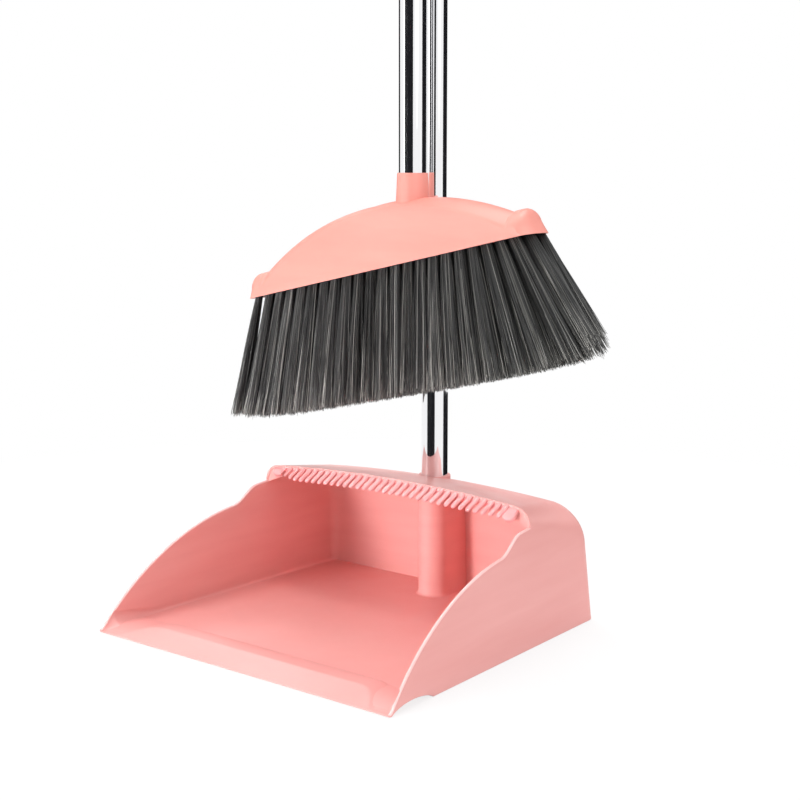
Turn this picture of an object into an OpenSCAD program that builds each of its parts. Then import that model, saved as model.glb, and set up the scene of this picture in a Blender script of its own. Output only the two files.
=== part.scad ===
// Long-handled dust pan and broom set.
// The pan stands on the floor, its pole rises from a boss at the back of the pan, and a clip on that
// pole holds the broom by its own pole. Both poles are telescopic: a narrow tube slides in a wide one
// and a quarter turn spreads a sleeve that locks it.
// Origin: middle of the pan's footprint, on the floor. +Z up, -Y towards the pan's open front.

/* [Dust pan] */
// Outer width across the front lip, at the floor
pan_w_front = 291; // [250:1:330]
// Outer width across the back, at the floor
pan_w_rear = 277; // [235:1:310]
// Depth from the front lip to the back wall, at the floor
pan_d = 270; // [240:1:300]
// Thickness of the side walls, back wall and hood
pan_wall = 2.5; // [1.8:0.1:4]
// Thickness of the floor
floor_t = 3; // [2:0.1:5]
// Inward lean of the side walls, degrees
side_lean = 5; // [2:0.5:8]
// Forward lean of the back wall, degrees
rear_lean = 2; // [0:0.5:6]
// Radius of the back's upright corners under the hood, and of its top edge
corner_r = 24; // [18:1:30]
// Radius of the back's upright corners at the floor
corner_foot = 8; // [6:0.5:14]
// Radius between the side walls and the hood, at the hood's front edge
shoulder_r = 9; // [5:0.5:14]
// Radius between the side walls and the hood, at the back
shoulder_back = 20; // [12:1:22]
// Fillet between the floor and the side walls, inside
floor_fillet = 6; // [4:0.5:10]
// Radius of the pan's bottom edge, outside
foot_r = 1.4; // [0.8:0.1:3]

/* [Hood] */
// Height of the hood at the middle of its front edge
hood_h = 112; // [95:1:130]
// Depth of the hood, from its front edge to the back wall at the floor
hood_d = 89; // [70:1:110]
// Fall of the hood towards the back, degrees
hood_fall = 8; // [2:0.5:12]
// How much lower the hood is at its sides than in the middle
hood_crown = 7; // [2:0.5:14]
// Width of the web across each front corner of the hood
web_w = 34; // [20:1:45]

/* [Side walls] */
// Height where the long front curve of a side wall ends
rim_h = 76; // [60:1:85]
// Distance in front of the hood's edge where that curve ends
rim_gap = 40; // [30:1:55]
// Radius of the long front curve
rim_r = 210; // [180:5:300]
// Height of the hooked step between the curve and the hood
rim_step = 11; // [5:0.5:14]
// Depth over which the hooked step rises
rim_step_d = 26.4; // [20:0.2:30]

/* [Front lip] */
// Depth of the raised lip, front to back
lip_d = 49; // [36:1:60]
// Height of the lip's crest
lip_h = 6.6; // [5:0.2:9]
// Depth of the flat ramp from the front edge up to the crest
lip_crest = 23; // [16:0.5:27]
// Depth of the flat foot behind the crest's rounded fall
lip_foot = 5.4; // [3:0.2:8]
// Thickness of the lip
lip_t = 1.8; // [1.2:0.1:2.6]
// Thickness of the lip's front edge
lip_edge = 1; // [0.6:0.1:1.6]
// Depth of the land under the front edge
lip_land = 2; // [1:0.5:5]

/* [Hair comb] */
// Number of comb teeth
tooth_n = 34; // [20:1:40]
// Width of one tooth
tooth_w = 4.4; // [3:0.1:5]
// Length of a tooth down the slope
tooth_l = 13.8; // [9:0.2:16]
// How far a tooth swings to each side on its way down
tooth_sway = 1.8; // [0:0.1:2.2]
// Width of the large round tooth at each end
end_tooth_w = 12; // [8:0.5:14]
// Thickness of a tooth
tooth_t = 3.4; // [2:0.1:5]
// Slope of the teeth, degrees
tooth_slope = 45; // [30:1:60]
// Depth of the comb's back strip
comb_strip_d = 3; // [2:0.1:5]
// Depth of the tongue that slides under the hood
comb_tongue_d = 8; // [4:0.5:12]

/* [Poles] */
// Radius of the wide tubes
tube_r = 11; // [9.5:0.1:12]
// Radius of the narrow tubes
slim_r = 9; // [7.5:0.1:9.3]
// Wall of the steel tubes
tube_wall = 0.8; // [0.6:0.1:1]
// Distance from the pan's pole to the back wall, at the floor
pole_back = 31; // [26:0.5:40]
// Distance between the two poles
pole_gap = 30; // [29.5:0.1:34]
// Height of the top of the pan's wide tube
pan_tube_top = 250; // [230:1:300]
// Height of the top of the pan's narrow tube
pan_slim_top = 835; // [760:1:900]
// Height of the top of the broom's wide tube
broom_tube_top = 725; // [700:1:760]
// Height of the top of the broom's narrow tube
broom_slim_top = 1010; // [950:1:1080]
// Wall of the pan's boss round the pole
boss_wall = 2; // [1.6:0.1:3.5]
// Height of the boss's collar above the hood
collar_h = 3; // [1:0.5:8]
// Thickness of the seat under a pole
seat_t = 6; // [5:0.5:10]

/* [Pole locks] */
// Length of the guide bush in the top of a wide tube
bush_l = 55; // [40:1:70]
// Thickness of the guide bush's flange
flange_t = 3; // [2:0.5:5]
// Radius of the cone's journal inside the sleeve
journal_r = 5; // [3.5:0.1:6]
// Length of the spreading sleeve
sleeve_l = 22; // [14:1:30]
// Width of the sleeve's slit
slit_w = 2; // [1:0.2:4]
// Length of the plugs pressed into the tubes
plug_l = 38; // [25:1:45]

/* [Grips] */
// Radius of the grips and end caps
grip_r = 14; // [12:0.1:14.3]
// Length of a grip
grip_l = 118; // [90:1:140]
// Number of grooves round a grip
groove_n = 6; // [3:1:10]
// Height of an end cap, with its hanging loop
cap_h = 34; // [28:1:44]
// Thickness of the hanging loop
loop_t = 9; // [6:0.5:12]
// Radius of the hanging hole
hole_r = 5.5; // [4:0.1:7]

/* [Broom clip] */
// Height of the clip's middle
clip_z = 630; // [560:1:650]
// Height of the clip along the poles
clip_h = 24; // [16:1:34]
// Wall of the clip's ring and jaws
clip_wall = 3; // [2:0.1:3.5]
// How far the jaws reach past the broom pole's middle
jaw_reach = 9; // [6:0.5:14]
// Gap between the jaws and the broom's pole
jaw_clear = 0.25; // [0.1:0.05:0.4]

/* [Broom head] */
// Length of the head along its base
head_l = 298; // [260:1:330]
// Thickness of the head, front to back
head_t = 35; // [30:0.5:35]
// Height of the arched crown above the base
head_h = 51; // [44:1:60]
// How much lower the front and back edges are than the crown, at the middle
head_dome = 5.4; // [3:0.2:8]
// How much further those edges fall towards the tips
dome_more = 6; // [0:0.2:7]
// Height of the square tips at the two ends
tip_h = 19; // [15:1:24]
// Length of a square tip
tip_l = 19; // [14:1:30]
// How far the end of a tip slopes in from its foot to its top
tip_slant = 5.5; // [0:0.5:8]
// How much lower a tip is at its faces than along its middle
tip_fall = 11; // [2:0.5:12]
// Wall of the head's shell
shell_wall = 2.4; // [1.8:0.1:3]
// Tilt of the head across its pole, degrees
head_tilt = 12.6; // [0:0.2:16]
// Height of the base's middle above the floor
head_z = 277; // [265:1:300]
// Distance from the base's middle to the pole, along the floor
head_side = 24; // [0:1:30]
// Top of the head's collar above the base at the pole
collar_top = 71; // [64:1:80]
// Outer radius of the collar at its top
collar_r = 12.3; // [12:0.1:13]

/* [Bristles] */
// Rows of tufts, front to back
tuft_rows = 4; // [4:1:4]
// Tufts in one row
tuft_n = 22; // [16:1:24]
// Distance between the rows
row_gap = 7.5; // [7.2:0.1:7.8]
// Radius of a tuft at its root
tuft_r = 2.9; // [2.2:0.1:3]
// Gap between the tips of neighbouring tufts
tip_gap = 0.4; // [0.2:0.1:3]
// Reach of the tufts below the base
tuft_reach = 103; // [80:1:110]
// Depth of the holes that hold the tufts
tuft_hole = 9; // [6:0.5:11]
// Thickness of the block that holds the tufts
block_t = 14; // [12:0.5:18]
// How much shorter the outermost tufts are trimmed
end_trim = 10; // [0:1:16]
// How far the block sits up inside the shell
block_foot = 1; // [0.5:0.5:3]
// Outward lean of the tufts at the low end, degrees
lean_low = 16.5; // [8:0.5:20]
// Outward lean of the tufts at the high end, degrees
lean_high = 44; // [20:0.5:46]

/* [Screws] */
// Radius of a screw's shank
screw_r = 2; // [1.5:0.1:2.5]
// Radius of a screw's head
screw_head_r = 3.8; // [3:0.1:4.4]
// Thickness of a screw's head
screw_head_t = 2.4; // [1.6:0.1:3]
// Length of a screw under its head
screw_l = 22; // [14:1:28]

/* [Hidden] */
$fn = 64;

pink = [0.94, 0.62, 0.59];
pale_pink = [0.95, 0.70, 0.67];
steel = [0.80, 0.80, 0.82];
dark_grey = [0.20, 0.20, 0.20];
nylon_white = [0.90, 0.90, 0.88];
eps = 0.01;
over = 20;

// Clearances: a running fit turns or slides, a snug fit is pushed home and stays.
run = 0.08;
snug = 0.05;
seat = 0.2;

// Pan: places that several pieces share
front_y = -pan_d / 2;
rear_y = pan_d / 2;
hood_y = rear_y - hood_d;
pole_y = rear_y - pole_back;
broom_y = pole_y - pole_gap;
boss_r = tube_r + run + boss_wall;

// Poles
tube_bore = tube_r - tube_wall;
slim_bore = slim_r - tube_wall;
bush_r = tube_bore - snug;
bush_edge = 0.8;    // taper of the bush's flange
plug_rib_z = 8;     // height where the plug's flutes start
plug_rib_r = 1.4;   // radius of the plug's flutes
barb_r = 0.7;       // radius of the grooves round the lock sleeve
slot_w = 0.9;       // width of a screw's cross recess

// Grips, caps and clip
grip_edge = 2;      // radius of a grip's end edges
groove_r = 2.6;     // radius of a finger groove
groove_deep = 1;    // depth of a finger groove
cap_neck = 3;       // straight rim under an end cap's dome
cap_round = 8;      // height of an end cap's dome
loop_wall = 5;      // width of the hanging loop round its hole
clip_neck = 14;     // width of the neck between the clip's ring and jaws
ring_wall = 4;      // wall of the clip's ring

// Broom head: its own frame has the base's middle at 0, +X along the base, +Z up through the crown
head_pole_x = head_side / cos(head_tilt);
collar_base_z = head_z + head_side * tan(head_tilt);
collar_z = collar_base_z + collar_top;
collar_l = 30;      // length of the collar round the broom's pole
collar_flare = 1.4; // how much wider the collar is at its foot
pillar_extra = 0.8; // how much wider the socket's pillar is than the collar
head_room = screw_head_r * tan(head_tilt) + screw_head_t + seat;
socket_z = collar_base_z + (block_t + seat) / cos(head_tilt) + head_room + shell_wall;
arch_end = head_l / 2 - tip_l;
arch_rise = head_h - tip_h;
arch_r = (arch_end * arch_end + arch_rise * arch_rise) / (2 * arch_rise);
tuft_margin = 6;    // from the shell's end wall to the first tuft
end_bow = 6;        // how far the head's ends curve in towards its faces
arch_foot = 2;      // how far the arch's ends drop into the square tips
tip_r = 4;          // radius of a square tip's upper edge
tip_rise = 1.5;     // how far a tip stands proud of the arch's end
tuft_pitch = (head_l - 2 * shell_wall - 2 * tuft_r - 2 * tuft_margin) / (tuft_n - 0.5);
tuft_tip_r = (norm([tuft_pitch / 2, row_gap]) - tip_gap) / 2;

// ---------------------------------------------------------------- shared shapes

// A plain tube standing on z = z0
module tube(r, wall, z0, z1) {
    translate([0, 0, z0]) difference() {
        cylinder(r = r, h = z1 - z0);
        translate([0, 0, -1]) cylinder(r = r - wall, h = z1 - z0 + 2);
    }
}

module at_pan_pole() { translate([0, pole_y, 0]) children(); }

module at_broom_pole() { translate([0, broom_y, 0]) children(); }

// Carries the broom head's own frame to its tilted place on the broom's pole
module at_head() {
    translate([-head_side, broom_y, head_z]) rotate([0, -head_tilt, 0]) children();
}

// ---------------------------------------------------------------- dust pan

// Half width of the pan at the floor, at depth y
function half_w(y) = (pan_w_front + (pan_w_rear - pan_w_front) * (y - front_y) / pan_d) / 2;

// Height of the hood's middle line at depth y
function top_z(y) = hood_h - (y - hood_y) * tan(hood_fall);

// Height of the hood at x, for a section inset by t
function crown_z(x, y, t) = top_z(y) - t - hood_crown * pow(x / half_w(y), 2);

function crown_slope(x, y) = 2 * hood_crown * x / pow(half_w(y), 2);

// Radius of the back's upright corners at height z: it grows from the floor up to the shoulder
corner_rise = 68;
function corner_at(z) = corner_foot + (corner_r - corner_foot) * min(z / corner_rise, 1);

// How far a corner of radius r cuts in from the side, at distance d in front of the back
function corner_cut(r, d) = d >= r ? 0 : r - sqrt(r * r - (r - d) * (r - d));

// Radius of the shoulder at depth y
function shoulder_at(y) =
    shoulder_r + (shoulder_back - shoulder_r)
        * min(max((y - hood_y) / (rear_y - corner_r - hood_y), 0), 1);

// Right half of the pan's upright section at depth y, inset by t, standing on z = z0 with a bottom
// corner of radius rb: floor corner, leaning wall, shoulder arc, crowned top down to the middle line
function half_section(y, t, z0, rb) =
    let (d = rear_y - t - y,
         drop = corner_cut(corner_r - t, d),
         top = t + drop,
         rs = max(shoulder_at(y) - top, 1),
         w = half_w(y) - t / cos(side_lean),
         x0 = w - drop - top_z(y) * tan(side_lean) - rs,
         zc0 = crown_z(x0, y, top) - rs,
         xc = w - drop - zc0 * tan(side_lean) - rs / cos(side_lean),
         s = crown_slope(xc, y),
         zc = crown_z(xc, y, top) - rs * sqrt(1 + s * s),
         xb = w - corner_cut(corner_at(z0) - t, d)
            - z0 * tan(side_lean) - rb / cos(side_lean) * (1 - sin(side_lean)),
         z1 = z0 + rb)
    concat([for (a = [-90:10:-10]) [xb + rb * cos(a), z0 + rb + rb * sin(a)]],
           [for (k = [0:4])
               let (z = z1 + (zc - z1) * k / 5)
               [w - corner_cut(corner_at(z) - t, d) - z * tan(side_lean), z]],
           [for (a = [side_lean:8.5:90]) [xc + rs * cos(a), zc + rs * sin(a)]],
           [for (k = [10:-1:0]) [xc * k / 10.5, crown_z(xc * k / 10.5, y, top)]]);

// The whole section as a ring of points in space, leaning forward more towards the back
function section_ring(y, t, z0, rb) =
    let (half = half_section(y, t, z0, rb),
         both = concat(half, [for (k = [len(half) - 2:-1:0]) [-half[k][0], half[k][1]]]),
         lean = rear_lean * (y - front_y) / pan_d)
    [for (p = both) [p[0], y - p[1] * sin(lean), p[1] * cos(lean)]];

// The pan's full block, inset by t: leaning sides, crowned top and a rounded back
module pan_block(t, z0, rb, y0) {
    r = corner_r - t;
    places = concat([y0, hood_y], [for (a = [0:9:90]) rear_y - t - r * (1 - sin(a))]);
    rings = [for (y = places) section_ring(y, t, z0, rb)];
    n = len(rings[0]);
    last = (len(rings) - 1) * n;
    polyhedron(
        points = [for (ring = rings) each ring],
        faces = concat(
            [[for (i = [n - 1:-1:0]) i]],
            [for (k = [0:len(rings) - 2], i = [0:n - 1])
                let (a = k * n + i, b = k * n + (i + 1) % n)
                each [[a, b, b + n], [a, b + n, a + n]]],
            [[for (i = [0:n - 1]) last + i]]));
}

// Height of a side wall's rim at depth y: one long arc, then a hooked step up to the hood
rim_end_y = hood_y - rim_gap;
rim_chord = norm([rim_end_y - front_y, rim_h]);
rim_dir = atan2(rim_h, rim_end_y - front_y);
rim_half = asin(rim_chord / (2 * rim_r));
rim_rise = tan(rim_dir - rim_half);
function rim_arc(k) =
    let (a = rim_dir + rim_half - 2 * rim_half * k)
    [front_y + rim_r * (sin(rim_dir + rim_half) - sin(a)),
     rim_r * (cos(a) - cos(rim_dir + rim_half))];
function smooth(u) = u * u * (3 - 2 * u);
function rim_hook(k) =
    [rim_end_y + rim_step_d * k,
     rim_h + rim_step_d * k * rim_rise + rim_step * smooth(k)];
rim_top = rim_h + rim_gap * rim_rise + rim_step;

module side_profile() {
    difference() {
        polygon(concat(
            [for (k = [0:18]) rim_arc(k / 18)],
            [for (k = [1:12]) rim_hook(k / 12)],
            [[hood_y, rim_top], [hood_y, hood_h + over],
             [rear_y + over, hood_h + over], [rear_y + over, 0]]));
        lip_hollow();
    }
}

// Hollow under the lip: an arch behind the narrow land that the front edge stands on
module lip_hollow() {
    span = lip_d - lip_land;
    translate([front_y + lip_land, 0]) polygon(concat(
        [[0, -1], [0, 0]],
        [for (a = [15:15:165]) [span * (1 - cos(a)) / 2, (lip_h - lip_t) * pow(sin(a), 1.5)]],
        [[span, 0], [span, -1]]));
}

// The lip's section: a flat ramp up to a crest, then a rounded fall to the floor
module lip_profile() {
    fall = lip_d - lip_crest - lip_foot;
    difference() {
        polygon(concat(
            [[front_y, 0], [front_y, lip_edge]],
            [for (a = [0:10:90])
                [front_y + lip_crest + fall * sin(a), floor_t + (lip_h - floor_t) * cos(a)]],
            [[front_y + lip_d + 4, floor_t], [front_y + lip_d + 4, 0]]));
        lip_hollow();
    }
}

module across(w) { rotate([90, 0, 90]) linear_extrude(w, center = true) children(); }

module pan_shell() {
    difference() {
        intersection() {
            pan_block(0, 0, foot_r, front_y);
            across(pan_w_front + 10) side_profile();
        }
        pan_block(pan_wall, floor_t, floor_fillet, front_y - 2);
    }
}

// Middle line of the pan's top and back, inset by t, as points in depth and height
function back_line(t) =
    let (r = corner_r - t)
    [for (a = [0:9:90])
        let (y = rear_y - t - r + r * sin(a),
             z = top_z(y) - t - r * (1 - cos(a)),
             lean = rear_lean * (y - front_y) / pan_d)
        [y - z * sin(lean), z * cos(lean)]];

// The roof runs straight from the hood's front section to the start of the back's curve
roof_lean = rear_lean * (hood_y - front_y) / pan_d;
roof_front = [hood_y - hood_h * sin(roof_lean), hood_h * cos(roof_lean)];
roof_back = back_line(0)[0];
roof_fall = atan2(roof_front[1] - roof_back[1], roof_back[0] - roof_front[0]);
function roof_z(y) = roof_front[1] - (y - roof_front[0]) * tan(roof_fall);

// Pillar for the pole: round in front, flat sided back to the rear wall, with a collar on the hood
module pan_boss() {
    half_wall = pan_wall / 2;
    across(2 * boss_r) polygon(concat(
        [[pole_y, 0], [pole_y, top_z(pole_y) - half_wall]],
        back_line(half_wall),
        [[rear_y - half_wall, 0]]));
    at_pan_pole() cylinder(r = boss_r, h = roof_z(pole_y) + collar_h);
}

// Web across each front corner of the hood, from the top of the rim up to the hood's underside
module hood_webs() {
    side = half_w(hood_y) - rim_top * tan(side_lean);
    inner = side - web_w;
    intersection() {
        pan_block(pan_wall / 2, floor_t, floor_fillet, front_y);
        translate([0, hood_y + pan_wall + seat, 0]) rotate([90, 0, 0]) linear_extrude(pan_wall)
            for (m = [0, 1]) mirror([m, 0]) polygon([
                [inner, hood_edge(inner, pan_wall + 1)], [side + over, rim_top],
                [side + over, hood_h + over], [inner, hood_h + over]]);
    }
}

// The lip between the side walls
module pan_lip() {
    side = half_w(front_y) - pan_wall / 2 - lip_h * tan(side_lean);
    intersection() {
        across(pan_w_front) lip_profile();
        linear_extrude(lip_h + 1) polygon([
            [-side, front_y - 1], [side, front_y - 1],
            [side - (pan_w_front - pan_w_rear) / 2 * lip_d / pan_d, front_y + lip_d + 9],
            [-side + (pan_w_front - pan_w_rear) / 2 * lip_d / pan_d, front_y + lip_d + 9]]);
    }
}

module pan_body() {
    color(pink) difference() {
        union() {
            pan_shell();
            pan_lip();
            pan_boss();
            hood_webs();
        }
        at_pan_pole() {
            translate([0, 0, seat_t]) cylinder(r = tube_r + run, h = hood_h + over);
            translate([0, 0, -1]) cylinder(r = screw_r + seat, h = seat_t + 2);
            translate([0, 0, -1]) cylinder(r = screw_head_r + seat, h = screw_head_t + seat + 1);
        }
    }
}

// Comb: a strip against the hood's front edge, a tongue under the hood and a row of wavy teeth
comb_half = half_w(hood_y) - (hood_h - hood_crown) * tan(side_lean) - shoulder_r;
comb_strip_h = pan_wall + 3;
comb_tongue_t = 2.2;
tooth_span = comb_half - end_tooth_w / 2;
tooth_pitch = 2 * tooth_span / tooth_n;
tooth_sink = 0.6;
function hood_edge(x, drop) = roof_z(hood_y) - drop - hood_crown * pow(x / half_w(hood_y), 2);

module crown_band(half, top, bottom, y0, y1) {
    translate([0, y1, 0]) rotate([90, 0, 0]) linear_extrude(y1 - y0) polygon(concat(
        [for (k = [-12:12]) [half * k / 12, hood_edge(half * k / 12, top)]],
        [for (k = [12:-1:-12]) [half * k / 12, hood_edge(half * k / 12, bottom)]]));
}

// A tooth lies on the comb's slope, from the hood's edge down
module at_tooth(x) {
    translate([x, hood_y - seat - tooth_t * sin(tooth_slope), hood_edge(x, tooth_sink)])
        rotate([tooth_slope, 0, 0]) translate([0, 0, -tooth_t]) linear_extrude(tooth_t) children();
}

function tooth_line(v) = tooth_sway * cos(180 * v / (tooth_l - tooth_w / 2));

// Outline of a tooth: a wavy rib with a round end
module tooth_outline() {
    r = tooth_w / 2;
    run_l = tooth_l - r;
    polygon(concat(
        [for (k = [0:6]) [tooth_line(run_l * k / 6) + r, -run_l * k / 6]],
        [for (a = [-22.5:-22.5:-157.5]) [tooth_line(run_l) + r * cos(a), -run_l + r * sin(a)]],
        [for (k = [6:-1:0]) [tooth_line(run_l * k / 6) - r, -run_l * k / 6]]));
}

// Outline of the large end tooth: straight sides and a round end
module end_tooth_outline() {
    r = end_tooth_w / 2;
    translate([-r, r - tooth_l]) square([end_tooth_w, tooth_l - r]);
    translate([0, r - tooth_l]) circle(r = r, $fn = 32);
}

module hair_comb() {
    color(pale_pink) {
        crown_band(comb_half, 0, comb_strip_h, hood_y - comb_strip_d, hood_y - snug);
        translate([0, hood_y, roof_z(hood_y)]) rotate([-roof_fall, 0, 0])
            translate([0, -hood_y, -roof_z(hood_y)])
            crown_band(comb_half - web_w, pan_wall + seat, pan_wall + seat + comb_tongue_t,
                       hood_y - 1, hood_y + comb_tongue_d);
        for (k = [0:tooth_n - 1]) at_tooth((k - (tooth_n - 1) / 2) * tooth_pitch) tooth_outline();
        for (m = [-1, 1]) at_tooth(m * (comb_half - end_tooth_w / 2 + 2)) end_tooth_outline();
    }
}

// ---------------------------------------------------------------- poles, the same for both

// Screw from below into a pole's plug, standing on z = z0 with its head down
module pole_screw(z0) {
    color(steel) {
        difference() {
            translate([0, 0, z0]) cylinder(r = screw_head_r, h = screw_head_t);
            for (a = [0, 90])
                translate([0, 0, z0]) rotate([0, 0, a])
                    cube([screw_head_r, slot_w, screw_head_t / 1.2], center = true);
        }
        translate([0, 0, z0 + screw_head_t]) cylinder(r = screw_r, h = screw_l);
    }
}

// Plug in the foot of a wide tube, with a blind hole for the screw
module pole_plug(z0, hole_top) {
    color(nylon_white) translate([0, 0, z0]) difference() {
        cylinder(r = tube_bore - snug, h = plug_l);
        translate([0, 0, -1]) cylinder(r = screw_r + snug, h = hole_top - z0 + 1 + seat);
        for (a = [0:60:300])
            rotate([0, 0, a]) translate([tube_bore, 0, plug_rib_z])
                cylinder(r = plug_rib_r, h = plug_l);
    }
}

// Bush that guides the narrow tube in the top of the wide one
module guide_bush(z_top) {
    color(dark_grey) difference() {
        union() {
            translate([0, 0, z_top - bush_l]) cylinder(r = bush_r, h = bush_l + eps);
            translate([0, 0, z_top]) cylinder(r1 = tube_r, r2 = tube_r - bush_edge, h = flange_t);
        }
        translate([0, 0, z_top - bush_l - 1]) cylinder(r = slim_r + run, h = bush_l + flange_t + 2);
    }
}

// Height of the foot of a narrow tube whose wide tube ends at z_top: drawn out to its stop
function slim_foot(z_top) = z_top - bush_l + flange_t;

// Turning cone in the foot of the narrow tube: plug, shoulder, journal and end stop
module lock_cone(z_top) {
    foot = slim_foot(z_top);
    color(nylon_white) {
        translate([0, 0, foot]) cylinder(r = slim_bore - snug, h = plug_l / 2);
        translate([0, 0, foot - flange_t]) cylinder(r = slim_r, h = flange_t);
        translate([0, 0, foot - flange_t - sleeve_l - 2 * seat])
            cylinder(r = journal_r, h = sleeve_l + 2 * seat + eps);
        translate([0, 0, foot - 2 * flange_t - sleeve_l - 2 * seat])
            cylinder(r1 = slim_r - 2, r2 = slim_r - 1, h = flange_t);
    }
}

// Slit sleeve round the journal; it grips the wide tube's bore when the cone is turned
module lock_sleeve(z_top) {
    foot = slim_foot(z_top);
    color(dark_grey) translate([0, 0, foot - flange_t - sleeve_l - seat]) difference() {
        cylinder(r = tube_bore - run, h = sleeve_l);
        translate([0, 0, -1]) cylinder(r = journal_r + run, h = sleeve_l + 2);
        translate([0, -slit_w / 2, -1]) cube([tube_r, slit_w, sleeve_l + 2]);
        for (z = [4:4:sleeve_l - 3])
            translate([0, 0, z]) rotate_extrude() translate([tube_bore, 0]) circle(r = barb_r, $fn = 16);
    }
}

// Grip: a moulded sleeve with round ends and grooves
module pole_grip(z0) {
    color(pink) translate([0, 0, z0]) rotate_extrude() difference() {
        union() {
            translate([slim_r + snug, grip_edge])
                square([grip_r - slim_r - snug, grip_l - 2 * grip_edge]);
            translate([slim_r + snug, 0]) square([grip_r - slim_r - snug - grip_edge, grip_l]);
            for (z = [grip_edge, grip_l - grip_edge])
                translate([grip_r - grip_edge, z]) circle(r = grip_edge, $fn = 32);
        }
        for (k = [1:groove_n])
            translate([grip_r + groove_r - groove_deep, grip_l * k / (groove_n + 1)])
                circle(r = groove_r, $fn = 40);
    }
}

// End cap: plug in the narrow tube, round shoulder and a flat hanging loop with a hole
module pole_cap(z0) {
    loop_w = 2 * (hole_r + loop_wall);
    loop_z = cap_h - loop_w / 2;
    color(pink) translate([0, 0, z0]) {
        translate([0, 0, -plug_l / 2]) cylinder(r = slim_bore - snug, h = plug_l / 2 + eps);
        rotate_extrude() {
            square([grip_r, cap_neck]);
            translate([0, cap_neck]) intersection() {
                scale(grip_r) circle(r = 1, $fn = 64);
                square([grip_r, cap_round]);
            }
        }
        difference() {
            union() {
                translate([-loop_w / 2, -loop_t / 2, cap_neck]) cube([loop_w, loop_t, loop_z - cap_neck]);
                translate([0, loop_t / 2, loop_z]) rotate([90, 0, 0]) cylinder(d = loop_w, h = loop_t);
            }
            translate([0, loop_t / 2 + 1, loop_z]) rotate([90, 0, 0]) cylinder(r = hole_r, h = loop_t + 2);
        }
    }
}

// ---------------------------------------------------------------- the pan's pole

module pan_pole_screw() { at_pan_pole() pole_screw(seat / 2); }

module pan_pole_plug() { at_pan_pole() pole_plug(seat_t + snug, seat / 2 + screw_head_t + screw_l); }

module pan_tube_lower() {
    color(steel) at_pan_pole() tube(tube_r, tube_wall, seat_t + snug, pan_tube_top);
}

module pan_guide_bush() { at_pan_pole() guide_bush(pan_tube_top); }

module pan_lock_sleeve() { at_pan_pole() lock_sleeve(pan_tube_top); }

module pan_lock_cone() { at_pan_pole() lock_cone(pan_tube_top); }

module pan_tube_upper() {
    color(steel) at_pan_pole() tube(slim_r, tube_wall, slim_foot(pan_tube_top), pan_slim_top);
}

module pan_grip() { at_pan_pole() pole_grip(pan_slim_top - grip_l - snug); }

module pan_end_cap() { at_pan_pole() pole_cap(pan_slim_top); }

// ---------------------------------------------------------------- broom clip

// Ring round the pan's pole, a short neck and a forked cradle for the broom's pole
module broom_clip() {
    cradle_r = tube_r + jaw_clear;
    outer_r = cradle_r + clip_wall;
    ring_r = slim_r + run + ring_wall;
    color(pink) translate([0, 0, clip_z - clip_h / 2]) difference() {
        union() {
            at_pan_pole() cylinder(r = ring_r, h = clip_h);
            at_broom_pole() cylinder(r = outer_r, h = clip_h);
            translate([-clip_neck / 2, broom_y, 0]) cube([clip_neck, pole_gap, clip_h]);
            translate([-outer_r, broom_y - jaw_reach, 0]) cube([2 * outer_r, jaw_reach, clip_h]);
            for (s = [-1, 1])
                translate([s * (cradle_r + clip_wall / 2), broom_y - jaw_reach, 0])
                    cylinder(d = clip_wall, h = clip_h, $fn = 24);
        }
        at_pan_pole() translate([0, 0, -1]) cylinder(r = slim_r + run, h = clip_h + 2);
        at_broom_pole() translate([0, 0, -1]) cylinder(r = cradle_r, h = clip_h + 2);
        translate([-cradle_r, broom_y - 2 * outer_r, -1]) cube([2 * cradle_r, 2 * outer_r, clip_h + 2]);
    }
}

// ---------------------------------------------------------------- broom head, in its own frame

// Height of the arch above the base at x
function arch_z(x) = head_h - arch_r + sqrt(arch_r * arch_r - x * x);

// How far the surface falls from the crown towards the faces, at x and at depth y
function dome(x, y, t) =
    (head_dome + dome_more * pow(x / arch_end, 2)) * pow(y / (head_t / 2 - t), 2);

// Where the slanted end of a tip is at height z, from its foot at x = end to its upper edge
function slanted(end, upper, z) = end - tip_slant * z / upper;

// Arched part: outlines from front to back, each a little lower than the crown, joined by one hull
module head_arch(t, z0) {
    half_t = head_t / 2 - t;
    hull() for (k = [-6:6]) {
        y = half_t * k / 6;
        end = head_l / 2 - t - end_bow * pow(k / 6, 4);
        foot = tip_h - t - dome(arch_end, y, t) - arch_foot;
        side = slanted(end, foot, z0);
        translate([0, y + eps / 2, 0]) rotate([90, 0, 0]) linear_extrude(eps) polygon(concat(
            [[-side, z0], [tip_slant - end, foot]],
            [for (j = [-16:16])
                let (x = arch_end * j / 16) [x, arch_z(x) - t - dome(x, y, t)]],
            [[end - tip_slant, foot], [side, z0]]));
    }
}

// Square tip at one end, standing a little proud of the arch
module head_tip(t, z0) {
    half_t = head_t / 2 - t;
    x1 = head_l / 2 - t;
    hull() for (k = [-4:4]) {
        y = half_t * k / 4;
        end = x1 - end_bow * pow(k / 4, 4);
        top = tip_h + tip_rise - tip_fall * pow(k / 4, 2) - t;
        translate([0, y + eps / 2, 0]) rotate([90, 0, 0]) linear_extrude(eps) polygon(concat(
            [[arch_end - over, z0], [slanted(end, top - tip_r, z0), z0]],
            [for (a = [0:15:90])
                [end - tip_slant - tip_r + tip_r * cos(a), top - tip_r + tip_r * sin(a)]],
            [[arch_end - over, top - 1]]));
    }
}

module head_form(t, z0) {
    head_arch(t, z0);
    head_tip(t, z0);
    mirror([1, 0, 0]) head_tip(t, z0);
}

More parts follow.
